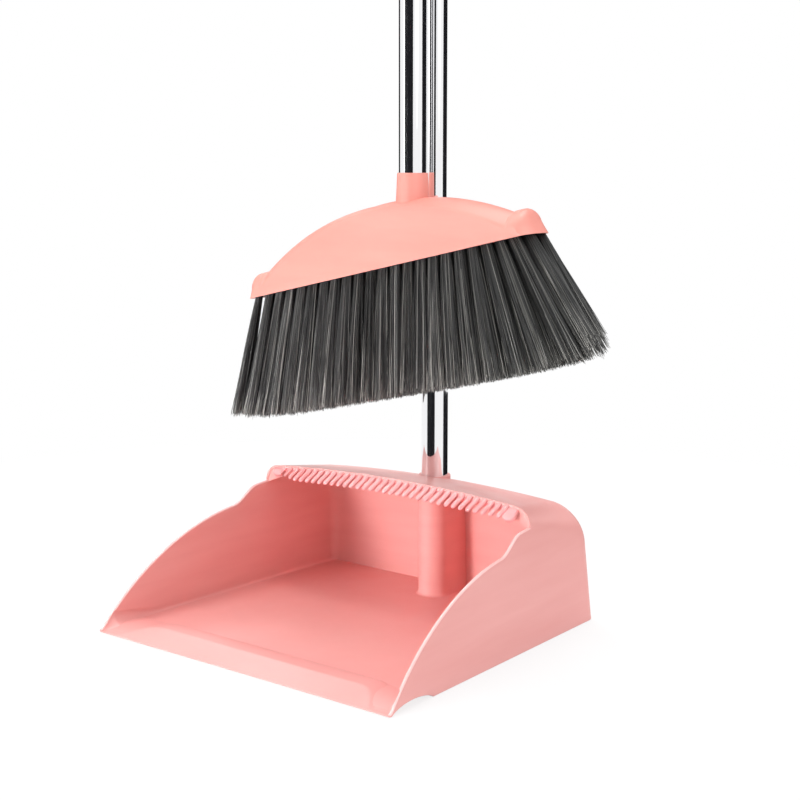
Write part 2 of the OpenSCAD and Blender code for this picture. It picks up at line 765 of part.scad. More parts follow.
module head_shell() {
    color(pink) difference() {
        union() {
            at_head() difference() {
                head_form(0, 0);
                head_form(shell_wall, -1);
            }
            // socket pillar from the block up to the collar, and the collar round the pole
            intersection() {
                at_head() translate([-head_l / 2, -head_t / 2, block_t + seat])
                    cube([head_l, head_t, head_h + 40]);
                at_broom_pole() translate([0, 0, head_z])
                    cylinder(r = collar_r + pillar_extra, h = collar_z - collar_l + 1 - head_z);
            }
            at_broom_pole() translate([0, 0, collar_z - collar_l])
                cylinder(r1 = collar_r + collar_flare, r2 = collar_r, h = collar_l);
        }
        at_broom_pole() {
            translate([0, 0, socket_z]) cylinder(r = tube_r + run, h = 100);
            translate([0, 0, head_z]) cylinder(r = screw_r + seat, h = 60);
            translate([0, 0, head_z])
                cylinder(r = screw_head_r + seat, h = socket_z - head_z - shell_wall);
        }
    }
}

function row_y(j) = (j - (tuft_rows - 1) / 2) * row_gap;
function tuft_x(i, j) = (i - (tuft_n - 1) / 2) * tuft_pitch + (j % 2 == 0 ? -1 : 1) * tuft_pitch / 4;

// Lean of a tuft from straight down, measured in the head's frame: tufts fan out from the pole
function tuft_lean(x) =
    let (fan_x = head_pole_x * 0.6, s = x - fan_x, low = head_l / 2 + fan_x, high = head_l / 2 - fan_x)
    (s < 0 ? -lean_low * pow(-s / low, 1.3) : lean_high * pow(s / high, 2.2)) - head_tilt;

module tuft_block() {
    color(dark_grey) at_head() difference() {
        intersection() {
            head_form(shell_wall + seat, block_foot);
            translate([-head_l, -head_t, block_foot])
                cube([2 * head_l, 2 * head_t, block_t - block_foot]);
        }
        for (j = [0:tuft_rows - 1]) for (i = [0:tuft_n - 1])
            at_tuft(tuft_x(i, j), row_y(j))
                translate([0, 0, -tuft_hole]) cylinder(r = tuft_r + snug, h = tuft_hole + 8, $fn = 24);
    }
}

// A tuft's own frame: origin where it leaves the block, +Z along the bristles
module at_tuft(x, y) {
    translate([x, y, block_foot]) rotate([0, 180 - tuft_lean(x), 0]) children();
}

// One tuft: a root in its hole, then a spreading bundle, trimmed shorter at the two ends
module tuft(x) {
    edge = pow(abs(x) / (head_l / 2), 6);
    reach = (tuft_reach + block_foot - end_trim * edge) / cos(tuft_lean(x));
    rotate_extrude($fn = 24) polygon([
        [0, seat - tuft_hole], [tuft_r, seat - tuft_hole], [tuft_r, 4],
        [tuft_tip_r, reach], [0, reach]]);
}

module tuft_row(j) {
    color(dark_grey) at_head() for (i = [0:tuft_n - 1])
        at_tuft(tuft_x(i, j), row_y(j)) tuft(tuft_x(i, j));
}

module tuft_row_1() { tuft_row(0); }

module tuft_row_2() { tuft_row(1); }

module tuft_row_3() { tuft_row(2); }

module tuft_row_4() { tuft_row(3); }

// ---------------------------------------------------------------- the broom's pole

broom_foot_z = socket_z + snug;

module broom_pole_screw() {
    at_broom_pole() pole_screw(socket_z - shell_wall - screw_head_t - snug);
}

module broom_pole_plug() {
    at_broom_pole() pole_plug(broom_foot_z, socket_z - shell_wall - snug + screw_l);
}

module broom_tube_lower() {
    color(steel) at_broom_pole() tube(tube_r, tube_wall, broom_foot_z, broom_tube_top);
}

module broom_guide_bush() { at_broom_pole() guide_bush(broom_tube_top); }

module broom_lock_sleeve() { at_broom_pole() lock_sleeve(broom_tube_top); }

module broom_lock_cone() { at_broom_pole() lock_cone(broom_tube_top); }

module broom_tube_upper() {
    color(steel) at_broom_pole() tube(slim_r, tube_wall, slim_foot(broom_tube_top), broom_slim_top);
}

module broom_grip() { at_broom_pole() pole_grip(broom_slim_top - grip_l - snug); }

module broom_end_cap() { at_broom_pole() pole_cap(broom_slim_top); }

pan_body();
hair_comb();
pan_pole_screw();
pan_pole_plug();
pan_tube_lower();
pan_guide_bush();
pan_lock_sleeve();
pan_lock_cone();
pan_tube_upper();
pan_grip();
pan_end_cap();
broom_clip();
head_shell();
tuft_block();
tuft_row_1();
tuft_row_2();
tuft_row_3();
tuft_row_4();
broom_pole_screw();
broom_pole_plug();
broom_tube_lower();
broom_guide_bush();
broom_lock_sleeve();
broom_lock_cone();
broom_tube_upper();
broom_grip();
broom_end_cap();
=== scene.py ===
import math

import bmesh
import bpy
from mathutils import Matrix, Vector


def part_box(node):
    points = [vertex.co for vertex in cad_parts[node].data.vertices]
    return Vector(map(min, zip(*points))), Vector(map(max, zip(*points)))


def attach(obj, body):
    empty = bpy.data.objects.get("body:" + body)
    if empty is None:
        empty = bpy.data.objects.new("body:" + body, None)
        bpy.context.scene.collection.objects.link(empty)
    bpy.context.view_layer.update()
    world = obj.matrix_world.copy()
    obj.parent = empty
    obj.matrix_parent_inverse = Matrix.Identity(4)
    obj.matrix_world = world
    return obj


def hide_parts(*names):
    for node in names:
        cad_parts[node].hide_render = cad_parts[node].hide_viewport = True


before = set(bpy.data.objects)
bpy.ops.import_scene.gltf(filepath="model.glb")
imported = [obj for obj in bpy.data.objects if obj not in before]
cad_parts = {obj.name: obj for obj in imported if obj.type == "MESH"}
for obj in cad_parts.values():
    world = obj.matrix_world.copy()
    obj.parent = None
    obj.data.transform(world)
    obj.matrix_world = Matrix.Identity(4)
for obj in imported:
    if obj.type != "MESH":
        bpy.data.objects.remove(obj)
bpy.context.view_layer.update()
MM = 0.001

# ---------------------------------------------------------------- places taken from the frame

pan_low, pan_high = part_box("pan_body")
FRONT, REAR = pan_low.y, pan_high.y
DEPTH = REAR - FRONT
PAN_POLE = (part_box("pan_tube_lower")[0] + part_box("pan_tube_lower")[1]) / 2
BROOM_POLE = (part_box("broom_tube_lower")[0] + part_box("broom_tube_lower")[1]) / 2
COLLAR_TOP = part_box("head_shell")[1].z


# ---------------------------------------------------------------- materials


def srgb(red, green, blue):
    """A colour given as 0 to 255, as the shaders' linear colour."""
    def linear(c):
        return c / 255 / 12.92 if c <= 10 else ((c / 255 + 0.055) / 1.055) ** 2.4
    return (linear(red), linear(green), linear(blue), 1)


def add(tree, kind, inputs=None, **settings):
    """A node with its settings and inputs; an input may be a value or another node's socket."""
    node = tree.nodes.new(kind)
    for key, value in settings.items():
        setattr(node, key, value)
    for key, value in (inputs or {}).items():
        if isinstance(value, bpy.types.NodeSocket):
            tree.links.new(value, node.inputs[key])
        else:
            node.inputs[key].default_value = value
    return node


def new_material(name):
    """A material with its node tree and its shader."""
    material = bpy.data.materials.new(name)
    material.use_nodes = True
    tree = material.node_tree
    return material, tree, tree.nodes["Principled BSDF"]


def ramp(tree, factor, stops):
    """A colour ramp over a factor; stops are (position, colour) pairs."""
    node = add(tree, "ShaderNodeValToRGB", {"Fac": factor})
    elements = node.color_ramp.elements
    while len(elements) < len(stops):
        elements.new(0.5)
    for element, (position, colour) in zip(elements, stops):
        element.position = position
        element.color = colour
    return node.outputs["Color"]


def noise(tree, scale, stretch=(1, 1, 1), detail=2.0, roughness=0.5):
    """Noise fixed to the piece, stretched where the finish runs one way."""
    place = add(tree, "ShaderNodeTexCoord").outputs["Object"]
    mapped = add(tree, "ShaderNodeMapping", {"Vector": place, "Scale": stretch})
    field = add(tree, "ShaderNodeTexNoise", {
        "Vector": mapped.outputs["Vector"], "Scale": scale, "Detail": detail, "Roughness": roughness})
    return field.outputs["Fac"]


def bump(tree, shader, height, distance, strength=1.0):
    node = add(tree, "ShaderNodeBump", {"Height": height, "Distance": distance, "Strength": strength})
    tree.links.new(node.outputs["Normal"], shader.inputs["Normal"])


def moulded_plastic(name, light, deep, gloss=(0.30, 0.42), flow=(1, 1, 9), grain=0.00002):
    """Moulded plastic: faint flow streaks in the colour, uneven gloss and a fine grain."""
    material, tree, shader = new_material(name)
    streaks = noise(tree, 9, flow, detail=3)
    tree.links.new(ramp(tree, streaks, [(0.3, deep), (0.7, light)]), shader.inputs["Base Color"])
    low, high = gloss
    rough = add(tree, "ShaderNodeMapRange", {
        "Value": noise(tree, 40, flow), "From Min": 0.3, "From Max": 0.7, "To Min": low, "To Max": high})
    tree.links.new(rough.outputs["Result"], shader.inputs["Roughness"])
    bump(tree, shader, noise(tree, 1400, detail=1), grain)
    return material


def polished_steel(name):
    """Mirror polished tube with faint draw lines along it."""
    material, tree, shader = new_material(name)
    shader.inputs["Metallic"].default_value = 1
    shader.inputs["Base Color"].default_value = (0.90, 0.90, 0.91, 1)
    rough = add(tree, "ShaderNodeMapRange", {
        "Value": noise(tree, 60, (12, 12, 0.4)), "From Min": 0.35, "From Max": 0.75,
        "To Min": 0.035, "To Max": 0.09})
    tree.links.new(rough.outputs["Result"], shader.inputs["Roughness"])
    bump(tree, shader, noise(tree, 900, (1, 1, 0.02), detail=1), 0.000002)
    return material


def bristle_fibre(name):
    """Black fibre with a grey sheen; every strand has its own shade, paler at the split tips, and darker
    towards its root with painted shade.
    """
    material, tree, shader = new_material(name)
    shade = add(tree, "ShaderNodeAttribute", attribute_name="shade").outputs["Fac"]
    tree.links.new(ramp(tree, shade, [
        (0.0, srgb(14, 14, 15)), (0.25, srgb(50, 50, 50)), (0.6, srgb(80, 80, 79)),
        (0.85, srgb(130, 129, 125)), (1.0, srgb(196, 194, 188))]), shader.inputs["Base Color"])
    shader.inputs["Roughness"].default_value = 0.42
    shader.inputs["Specular IOR Level"].default_value = 0.6
    bump(tree, shader, noise(tree, 1500, (1, 1, 0.1), detail=1), 0.00003)
    return material


PINK = moulded_plastic("pan_pink", srgb(240, 170, 165), srgb(235, 161, 156))
# paler pink on the side walls' rims: a painted highlight along them
PINK_PAINTED_HIGHLIGHT = moulded_plastic("pan_edge_pink", srgb(255, 208, 205), srgb(252, 198, 194))
COMB_PINK = moulded_plastic("comb_pink", srgb(244, 172, 172), srgb(238, 160, 160), gloss=(0.3, 0.4))
HEAD_PINK = moulded_plastic("head_pink", srgb(249, 165, 152), srgb(246, 156, 143), flow=(1, 1, 6))
GRIP_PINK = moulded_plastic("grip_pink", srgb(238, 156, 150), srgb(232, 146, 140), gloss=(0.45, 0.6),
                            grain=0.00008)
STEEL = polished_steel("polished_steel")
FIBRE = bristle_fibre("bristle_fibre")
BLACK = moulded_plastic("black_plastic", srgb(42, 42, 43), srgb(34, 34, 35), gloss=(0.4, 0.55))
NYLON = moulded_plastic("white_nylon", srgb(236, 236, 230), srgb(228, 228, 220), gloss=(0.4, 0.5))
ZINC = polished_steel("zinc_steel")


# ---------------------------------------------------------------- mesh helpers


def linked(name, data):
    """An object in the scene for a mesh, a curve, a camera or a lamp."""
    piece = bpy.data.objects.new(name, data)
    bpy.context.scene.collection.objects.link(piece)
    return piece


def new_mesh(name, points, faces, material, sharp=40, rim=None, highlight_material=None):
    """A piece from points and faces, its faces turned outwards, smooth but for edges over the sharp angle.

    rim is a range of faces that get the second material, a paler pink that paints a highlight on them.
    """
    mesh = bpy.data.meshes.new(name)
    mesh.from_pydata([tuple(p) for p in points], [], faces)
    mesh.materials.append(material)
    if rim:
        mesh.materials.append(highlight_material)
        for k in rim:
            mesh.polygons[k].material_index = 1
    piece = linked(name, mesh)
    clean(piece, sharp)
    return piece


def clean(piece, sharp=40, merge=0.00001):
    """Merges doubles, fills open edges, turns faces outwards and shades smooth but for sharp edges."""
    form = bmesh.new()
    form.from_mesh(piece.data)
    bmesh.ops.remove_doubles(form, verts=form.verts, dist=merge)
    bmesh.ops.dissolve_degenerate(form, dist=merge / 2, edges=form.edges)
    bmesh.ops.holes_fill(form, edges=[edge for edge in form.edges if edge.is_boundary])
    bmesh.ops.recalc_face_normals(form, faces=form.faces)
    form.to_mesh(piece.data)
    form.free()
    for face in piece.data.polygons:
        face.use_smooth = True
    piece.data.set_sharp_from_angle(angle=math.radians(sharp))


def grid_faces(rows, columns, start):
    """Faces between open rows of points, laid one after another from a starting point."""
    faces = []
    for i in range(rows - 1):
        for j in range(columns - 1):
            a = start + i * columns + j
            faces.append((a, a + 1, a + columns + 1, a + columns))
    return faces


def ring_faces(rings, count):
    """Faces between closed rings of points, laid one after another."""
    faces = []
    for i in range(rings - 1):
        for k in range(count):
            a, b = i * count + k, i * count + (k + 1) % count
            faces.append((a, b, b + count, a + count))
    return faces


def capped_rings(rings, count):
    """The same, with a face over the first ring and one over the last."""
    last = (rings - 1) * count
    return ring_faces(rings, count) + [tuple(range(count)), tuple(range(last, last + count))]


def turned(name, profile, axis, material, segments=96, sharp=40):
    """A turned piece: a closed profile of (radius, height) points swept round an upright axis."""
    count = len(profile)
    points = []
    for k in range(segments):
        angle = 2 * math.pi * k / segments
        for radius, height in profile:
            points.append((axis[0] + radius * math.cos(angle), axis[1] + radius * math.sin(angle), height))
    faces = []
    for k in range(segments):
        here, there = k * count, (k + 1) % segments * count
        for i in range(count):
            n = (i + 1) % count
            if profile[i][0] < 1e-7 and profile[n][0] < 1e-7:
                continue
            faces.append((here + i, there + i, there + n, here + n))
    return new_mesh(name, points, faces, material, sharp)


def rounded_top(radius, high, edge, steps):
    """Profile points of a rounded outer edge, from just past its side to its top."""
    angles = [math.radians(90 * k / steps) for k in range(1, steps + 1)]
    return [(radius - edge + edge * math.cos(a), high - edge + edge * math.sin(a)) for a in angles]


def evaluated_mesh(piece):
    """A piece's finished mesh, with its modifiers or its curve's bevel worked in."""
    bpy.context.view_layer.update()
    graph = bpy.context.evaluated_depsgraph_get()
    return bpy.data.meshes.new_from_object(piece.evaluated_get(graph), depsgraph=graph)


def smooth(t):
    """Eased step from 0 to 1."""
    t = min(max(t, 0), 1)
    return t * t * (3 - 2 * t)


def lerp(a, b, t):
    return a + (b - a) * t


# ---------------------------------------------------------------- dust pan

WIDTH_FRONT = pan_high.x - pan_low.x
WIDTH_REAR = 277 * MM
WALL = 2.5 * MM
FLOOR = 3 * MM
LEAN = math.radians(3.2)   # side walls
REAR_LEAN = math.radians(2)
CORNER_R = 14 * MM         # upright rear corner
ROOF_R = 29 * MM           # rounding of the hood over the back
CORNER_FOOT = 8 * MM       # the rear corner's radius at the floor
CORNER_RISE = 68 * MM      # height at which it reaches its full radius
SHOULDER_R = 15 * MM       # rounding between a side wall and the hood, at the hood's front
SHOULDER_BACK = 24 * MM    # the same at the back
FLOOR_FILLET = 2.6 * MM
FOOT_R = 1.4 * MM
HOOD_H = 112 * MM
HOOD_Y = REAR - 89 * MM
HOOD_FALL = math.radians(8)
HOOD_CROWN = 7 * MM
RIM_H = 76 * MM
RIM_END = HOOD_Y - 40 * MM
RIM_R = 210 * MM
RIM_STEP = 11 * MM
STEP_RUN = 26.4 * MM
LIP_CREST = 23 * MM
LIP_FALL = 20.6 * MM
LIP_H = 6.6 * MM
LIP_EDGE = 1 * MM
LIP_DEPTH = 49 * MM
LIP_LAND = 2 * MM
LIP_T = 1.8 * MM
LIP_RISE = 12 * MM       # depth over which the edge beside the lip comes up to the floor's level
RIM_LEAST = 0.6 * MM     # least height of a side wall's rim over the lip's edge
LIP_CLEAR = 16 * MM      # from a side wall to where the lip's crest starts at the front edge
LIP_BEND = 26 * MM       # width over which the crest runs back to its full depth
LIP_FILLET = 9 * MM      # extra radius of the corner beside the lip
LIP_BLEND = 62 * MM      # depth over which that extra radius fades
EDGE_HALF = 0.5 * MM
HOOD_EDGE_BULGE = 0.4    # how far the hood's front edge bulges, against a half round
BOSS_R = 13.1 * MM
BOSS_FLARE = 2.2 * MM
BOSS_BACK = 0.5 * MM     # the boss stops this far in front of the middle of the rear wall
BOSS_UNDER = 0.9 * MM    # and this far under the middle of the hood's wall


def half_width(y):
    return (WIDTH_FRONT + (WIDTH_REAR - WIDTH_FRONT) * (y - FRONT) / DEPTH) / 2


def hood_z(y):
    return HOOD_H - (y - HOOD_Y) * math.tan(HOOD_FALL)


def rim_z(y):
    """Height of a side wall's rim: one long arc, then a hooked step up to the hood."""
    chord = math.hypot(RIM_END - FRONT, RIM_H)
    rise = math.atan2(RIM_H, RIM_END - FRONT)
    half = math.asin(chord / (2 * RIM_R))
    centre_y = FRONT + RIM_R * math.sin(rise + half)
    centre_z = -RIM_R * math.cos(rise + half)
    if y <= RIM_END:
        return centre_z + math.sqrt(RIM_R ** 2 - (y - centre_y) ** 2)
    slope = math.tan(rise - half)
    return RIM_H + (y - RIM_END) * slope + RIM_STEP * smooth((y - RIM_END) / STEP_RUN)


def under_z(y):
    """Height of the hollow under the front lip."""
    span = LIP_DEPTH - LIP_LAND
    u = (y - FRONT - LIP_LAND) / span
    if not 0 < u < 1:
        return 0.0
    return (LIP_H - LIP_T) * math.sin(math.acos(1 - 2 * u)) ** 1.5


def lip_z(x, y):
    """Height of the lip above the floor's own level, from its ramp, crest and rounded fall."""
    room = half_width(y) - WALL - abs(x)
    reach = math.sin(min(max((room - LIP_CLEAR) / LIP_BEND, 0), 1) * math.pi / 2)
    crest = LIP_CREST * reach
    depth = y - FRONT
    top = LIP_EDGE + (LIP_H - LIP_EDGE) * reach ** 0.8
    if crest > 0 and depth <= crest:
        return lerp(LIP_EDGE, top, depth / crest)
    behind = (depth - crest) / LIP_FALL
    level = lerp(LIP_EDGE, FLOOR, smooth(depth / LIP_RISE))
    if behind >= 1:
        return level
    return max(level, level + (top - level) * math.sqrt(max(1 - behind ** 2, 0)))


FLOOR_STEPS, CORNER_STEPS, WALL_STEPS, SHOULDER_STEPS, ROOF_STEPS = 44, 8, 22, 10, 18
LIP_ROWS, TRAY_ROWS, HOOD_ROWS, BACK_ROWS = 40, 44, 16, 20
EDGE_STEPS = 4
CROWD = 1.6              # how much the floor's points crowd towards the side walls


def corner_cut(radius, distance):
    """How far an upright corner cuts in from the side, at a distance in front of the back."""
    if distance >= radius:
        return 0.0
    return radius - math.sqrt(max(radius ** 2 - (radius - distance) ** 2, 0))


def shoulder_at(y):
    share = (y - HOOD_Y) / (REAR - ROOF_R - HOOD_Y)
    return lerp(SHOULDER_R, SHOULDER_BACK, min(max(share, 0), 1))


def pan_section(y, inset, fillet, bottom, rim=None):
    """Right half of an upright section: floor from the middle out, corner, wall, shoulder and roof."""
    distance = REAR - inset - y
    drop = corner_cut(CORNER_R - inset, distance)
    top_inset = inset + corner_cut(ROOF_R - inset, distance)
    crown = half_width(y)

    def roof(x):
        return hood_z(y) - top_inset - HOOD_CROWN * (x / crown) ** 2

    def wall(z):
        radius = lerp(CORNER_FOOT, CORNER_R, min(z / CORNER_RISE, 1)) - inset
        return crown - inset / math.cos(LEAN) - corner_cut(radius, distance) - z * math.tan(LEAN)

    rs = max(shoulder_at(y) - inset - drop, 1 * MM)
    side = crown - inset / math.cos(LEAN) - drop
    zc = roof(side - hood_z(y) * math.tan(LEAN) - rs) - rs
    xc = side - zc * math.tan(LEAN) - rs / math.cos(LEAN)
    slope = 2 * HOOD_CROWN * xc / crown ** 2
    zc = roof(xc) - rs * math.sqrt(1 + slope ** 2)
    foot = bottom(wall(0))
    if rim is not None:
        fillet = min(fillet, max((rim - foot) / (1 + math.sin(LEAN)), 0.2 * MM))
    xb = wall(foot) - fillet / math.cos(LEAN) * (1 - math.sin(LEAN))
    points = []
    for k in range(FLOOR_STEPS):
        x = xb * (1 - (1 - k / FLOOR_STEPS) ** CROWD)
        points.append((x, bottom(x)))
    foot = bottom(xb)
    for k in range(CORNER_STEPS + 1):
        angle = lerp(-math.pi / 2, LEAN, k / CORNER_STEPS)
        points.append((xb + fillet * math.cos(angle), foot + fillet + fillet * math.sin(angle)))
    start = points[-1][1]
    end = max(rim, start) if rim is not None else zc + rs * math.sin(LEAN)
    for k in range(1, WALL_STEPS + 1):
        z = lerp(start, end, k / WALL_STEPS)
        points.append((wall(z) if z > start else points[-1][0], z))
    if rim is not None:
        return points
    for k in range(1, SHOULDER_STEPS + 1):
        angle = lerp(LEAN, math.pi / 2, k / SHOULDER_STEPS)
        points.append((xc + rs * math.cos(angle), zc + rs * math.sin(angle)))
    x_end = points[-1][0]
    for k in range(1, ROOF_STEPS + 1):
        x = x_end * (1 - k / ROOF_STEPS)
        points.append((x, roof(x)))
    return points


def placed(y, x, z):
    """A section's point in the pan: sections lean forward a little more towards the back."""
    lean = REAR_LEAN * (y - FRONT) / DEPTH
    return (x, y - z * math.sin(lean), z * math.cos(lean))


def both_sides(points):
    """The whole section, from the left rim or roof middle round to the right one."""
    left = [(-x, z) for x, z in reversed(points)]
    return left[:-1] + points


def section_places():
    """Depths of the sections in front of the hood, close together where the lip and the rim bend."""
    places = [FRONT + EDGE_HALF + (LIP_DEPTH - EDGE_HALF) * k / LIP_ROWS for k in range(LIP_ROWS + 1)]
    start = places[-1]
    places += [start + (HOOD_Y - start) * k / TRAY_ROWS for k in range(1, TRAY_ROWS + 1)]
    return places


def pan_skin(inner):
    """Points of one skin of the pan: open sections up to the hood, then closed ones round the back."""
    inset = WALL if inner else 0
    rows = []
    for y in section_places():
        if inner:
            fillet = FLOOR_FILLET + LIP_FILLET * (1 - smooth((y - FRONT) / LIP_BLEND))
            bottom = lambda x, y=y: max(lip_z(x, y), FLOOR if y > FRONT + LIP_DEPTH else 0)
        else:
            fillet = FOOT_R
            bottom = lambda x, y=y: under_z(y)
        rim = max(rim_z(y), LIP_EDGE + RIM_LEAST)
        points = both_sides(pan_section(y, inset, fillet, bottom, rim))
        rows.append([placed(y, x, z) for x, z in points])
    hood = []
    level = FLOOR if inner else 0
    radius = ROOF_R - inset
    start = REAR - ROOF_R
    fillet = FLOOR_FILLET if inner else FOOT_R
    stations = [HOOD_Y + (start - HOOD_Y) * k / HOOD_ROWS for k in range(HOOD_ROWS + 1)]
    stations += [REAR - inset - radius * (1 - math.sin(math.radians(90 * k / BACK_ROWS)))
                 for k in range(1, BACK_ROWS + 1)]
    for y in stations:
        points = both_sides(pan_section(y, inset, fillet, lambda x: level))
        hood.append([placed(y, x, z) for x, z in points])
    return rows, hood


def pan_body():
    """The moulded pan: two skins joined by half-round rims, and a flat back."""
    points, faces = [], []

    def put(row):
        start = len(points)
        points.extend(row)
        return list(range(start, start + len(row)))

    def strip(one, two):
        for k in range(len(one) - 1):
            faces.append((one[k], one[k + 1], two[k + 1], two[k]))

    def round_edge(outer, inner, away):
        """Half-round edge from an outer line to an inner line, bulging away from the skins."""
        lines = [outer]
        for k in range(1, EDGE_STEPS):
            angle = math.pi * k / EDGE_STEPS
            row = []
            for a, b, direction in zip(outer, inner, away):
                one, two = Vector(points[a]), Vector(points[b])
                middle, half = (one + two) / 2, (one - two) / 2
                bulge = direction * half.length * math.sin(angle)
                row.append(tuple(middle + half * math.cos(angle) + bulge))
            lines.append(put(row))
        lines.append(inner)
        for one, two in zip(lines, lines[1:]):
            strip(one, two)

    skins = []
    for inner in (False, True):
        rows, hood = pan_skin(inner)
        open_rows = [put(row) for row in rows]
        hood_rows = [put(row) for row in hood]
        for one, two in zip(open_rows, open_rows[1:]):
            strip(one, two)
        first = hood_rows[0]
        width = len(open_rows[-1])
        offset = (len(first) - width) // 2
        strip(open_rows[-1], first[offset:offset + width])
        for one, two in zip(hood_rows, hood_rows[1:]):
            strip(one, two)
            faces.append((one[-1], one[0], two[0], two[-1]))
        faces.append(tuple(hood_rows[-1]))
        skins.append((open_rows, hood_rows, offset, width))

    (outer, outer_hood, offset, width), (inner, inner_hood, _, _) = skins
    # the side walls' rims get the paler pink: a painted highlight
    rims = len(faces)
    for side in (0, -1):
        line_out = [row[side] for row in outer]
        line_in = [row[side] for row in inner]
        round_edge(line_out, line_in, [rim_normal(y) for y in section_places()])
    rims = range(rims, len(faces))
    forward = Vector((0, -1, 0))
    round_edge(outer[0], inner[0], [forward] * width)
    hood_out, hood_in = outer_hood[0], inner_hood[0]
    top_out = hood_out[offset + width - 1:] + hood_out[:offset + 1]
    top_in = hood_in[offset + width - 1:] + hood_in[:offset + 1]
    round_edge(top_out, top_in, [forward * HOOD_EDGE_BULGE] * len(top_out))
    return new_mesh("pan_moulding", points, faces, PINK, sharp=50, rim=rims, highlight_material=PINK_PAINTED_HIGHLIGHT)


def rim_normal(y):
    """Direction away from a side wall's rim, square to its run."""
    step = 0.5 * MM
    run = Vector((0, 2 * step, rim_z(min(y + step, HOOD_Y)) - rim_z(max(y - step, FRONT))))
    normal = Vector((0, -run.z, run.y))
    return normal.normalized()


def roof_inside(y):
    """Middle of the hood's wall over the pan's length, round its rear corner."""
    return hood_z(y) - WALL / 2 - corner_cut(ROOF_R - WALL / 2, REAR - WALL / 2 - y)


def pole_boss():
    """Pillar from the floor to the hood: round in front, flat sides back to the rear wall."""
    front_steps, side_steps, rise_steps = 32, 8, 16
    angles = [math.pi + math.pi * k / front_steps for k in range(front_steps + 1)]
    outline = [(math.cos(a), math.sin(a)) for a in angles]
    flare = [math.radians(a) for a in (0, 30, 60, 90)]
    levels = [(FLOOR - 1 * MM, BOSS_FLARE)]
    levels += [(FLOOR + BOSS_FLARE * (1 - math.cos(a)), BOSS_FLARE * (1 - math.sin(a))) for a in flare]
    foot, top = levels[-1][0], hood_z(PAN_POLE.y) - WALL / 2
    levels += [(lerp(foot, top, k / rise_steps), 0) for k in range(1, rise_steps + 1)]
    points = []
    for z, spread in levels:
        back = REAR - WALL / 2 - BOSS_BACK - z * math.tan(REAR_LEAN)
        r = BOSS_R + spread
        flat = [lerp(back, PAN_POLE.y, k / side_steps) for k in range(side_steps)]
        row = [(PAN_POLE.x - r, y) for y in flat]
        row += [(PAN_POLE.x + r * c, PAN_POLE.y + r * s) for c, s in outline]
        row += [(PAN_POLE.x + r, y) for y in reversed(flat)]
        points.extend((x, y, min(z, roof_inside(y) - BOSS_UNDER)) for x, y in row)
    columns = len(points) // len(levels)
    faces = ring_faces(len(levels), columns)
    last = len(points) - columns
    faces.append(tuple(range(columns)))
    faces += [(last + j, last + j + 1, last + columns - 2 - j, last + columns - 1 - j)
              for j in range(columns // 2)]
    return new_mesh("pole_boss", points, faces, PINK, sharp=35)


def boss_collar():
    """Short collar on the hood round the pole, with a rounded lip."""
    inner, outer = 11.1 * MM, 13.4 * MM
    low = hood_z(PAN_POLE.y) - 6 * MM
    high = hood_z(PAN_POLE.y) + 1.4 * MM
    edge = 0.8 * MM
    profile = [(inner, low), (outer, low), (outer, high - edge)]
    profile += rounded_top(outer, high, edge, 3) + [(inner, high)]
    return turned("boss_collar", profile, PAN_POLE, PINK)


# ---------------------------------------------------------------- tubes, grips and caps


WIDE_R, NARROW_R, TUBE_WALL = 11 * MM, 9 * MM, 0.8 * MM
RUNNING = 0.08 * MM         # clearance of a bore that a narrow tube runs in


def tube(name, node, radius):
    """Steel tube, its edges broken at both ends."""
    wall = TUBE_WALL
    low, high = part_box(node)
    edge = 0.25 * MM
    axis = (low + high) / 2
    profile = [(radius - wall, low.z), (radius - edge, low.z), (radius, low.z + edge),
               (radius, high.z - edge), (radius - edge, high.z), (radius - wall, high.z)]
    return turned(name, profile, axis, STEEL, segments=128)


def bush_flange(name, node):
    """Bush with the rounded flange that shows at the top of a wide tube."""
    low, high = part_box(node)
    axis = (low + high) / 2
    outer, bore, body = WIDE_R, NARROW_R + RUNNING, 10.15 * MM
    flange, edge = high.z - 3 * MM, 1.4 * MM
    profile = [(bore, low.z), (body, low.z), (body, flange), (outer, flange), (outer, high.z - edge)]
    profile += rounded_top(outer, high.z, edge, 4) + [(bore, high.z)]
    return turned(name, profile, axis, BLACK)


def grip(name, node):
    """Soft grip with rounded ends and finger grooves."""
    low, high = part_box(node)
    axis = (low + high) / 2
    outer, bore, end = 14 * MM, 9.05 * MM, 2.4 * MM
    grooves, half, depth = 6, 3.2 * MM, 1.1 * MM
    ends = [(outer - end * (1 - math.sin(a)), end * (1 - math.cos(a)))
            for a in (math.radians(15 * k) for k in range(7))]
    profile = [(bore, low.z)] + [(r, low.z + rise) for r, rise in ends]
    for g in range(1, grooves + 1):
        middle = low.z + (high.z - low.z) * g / (grooves + 1)
        for u in (k / 8 for k in range(-8, 9)):
            profile.append((outer - depth * (0.5 + 0.5 * math.cos(math.pi * u)), middle + half * u))
    profile += [(r, high.z - rise) for r, rise in reversed(ends)] + [(bore, high.z)]
    return turned(name, profile, axis, GRIP_PINK, sharp=50)


WEB_REACH, WEB_HEM = 34 * MM, 2.4 * MM     # how far in from the wall a web runs, and its depth there


def hood_web(name, side):
    """Web across one front corner of the hood, from the top of the rim up to the hood's underside."""
    y = HOOD_Y + 1.4 * MM
    section = pan_section(y, WALL / 2, FLOOR_FILLET, lambda x: FLOOR)
    rim = rim_z(HOOD_Y)
    reach = max(x for x, z in section if z >= rim) - WEB_REACH
    outline = [(x, z) for x, z in section if z >= rim and x >= reach]
    outline.append((reach, outline[-1][1] - WEB_HEM))
    outline.append((outline[0][0] - 1 * MM, rim))
    points = [placed(HOOD_Y + 0.2 * MM + depth, side * x, z) for depth in (0, WALL) for x, z in outline]
    return new_mesh(name, points, capped_rings(2, len(outline)), PINK, sharp=35)


# ---------------------------------------------------------------- hair comb

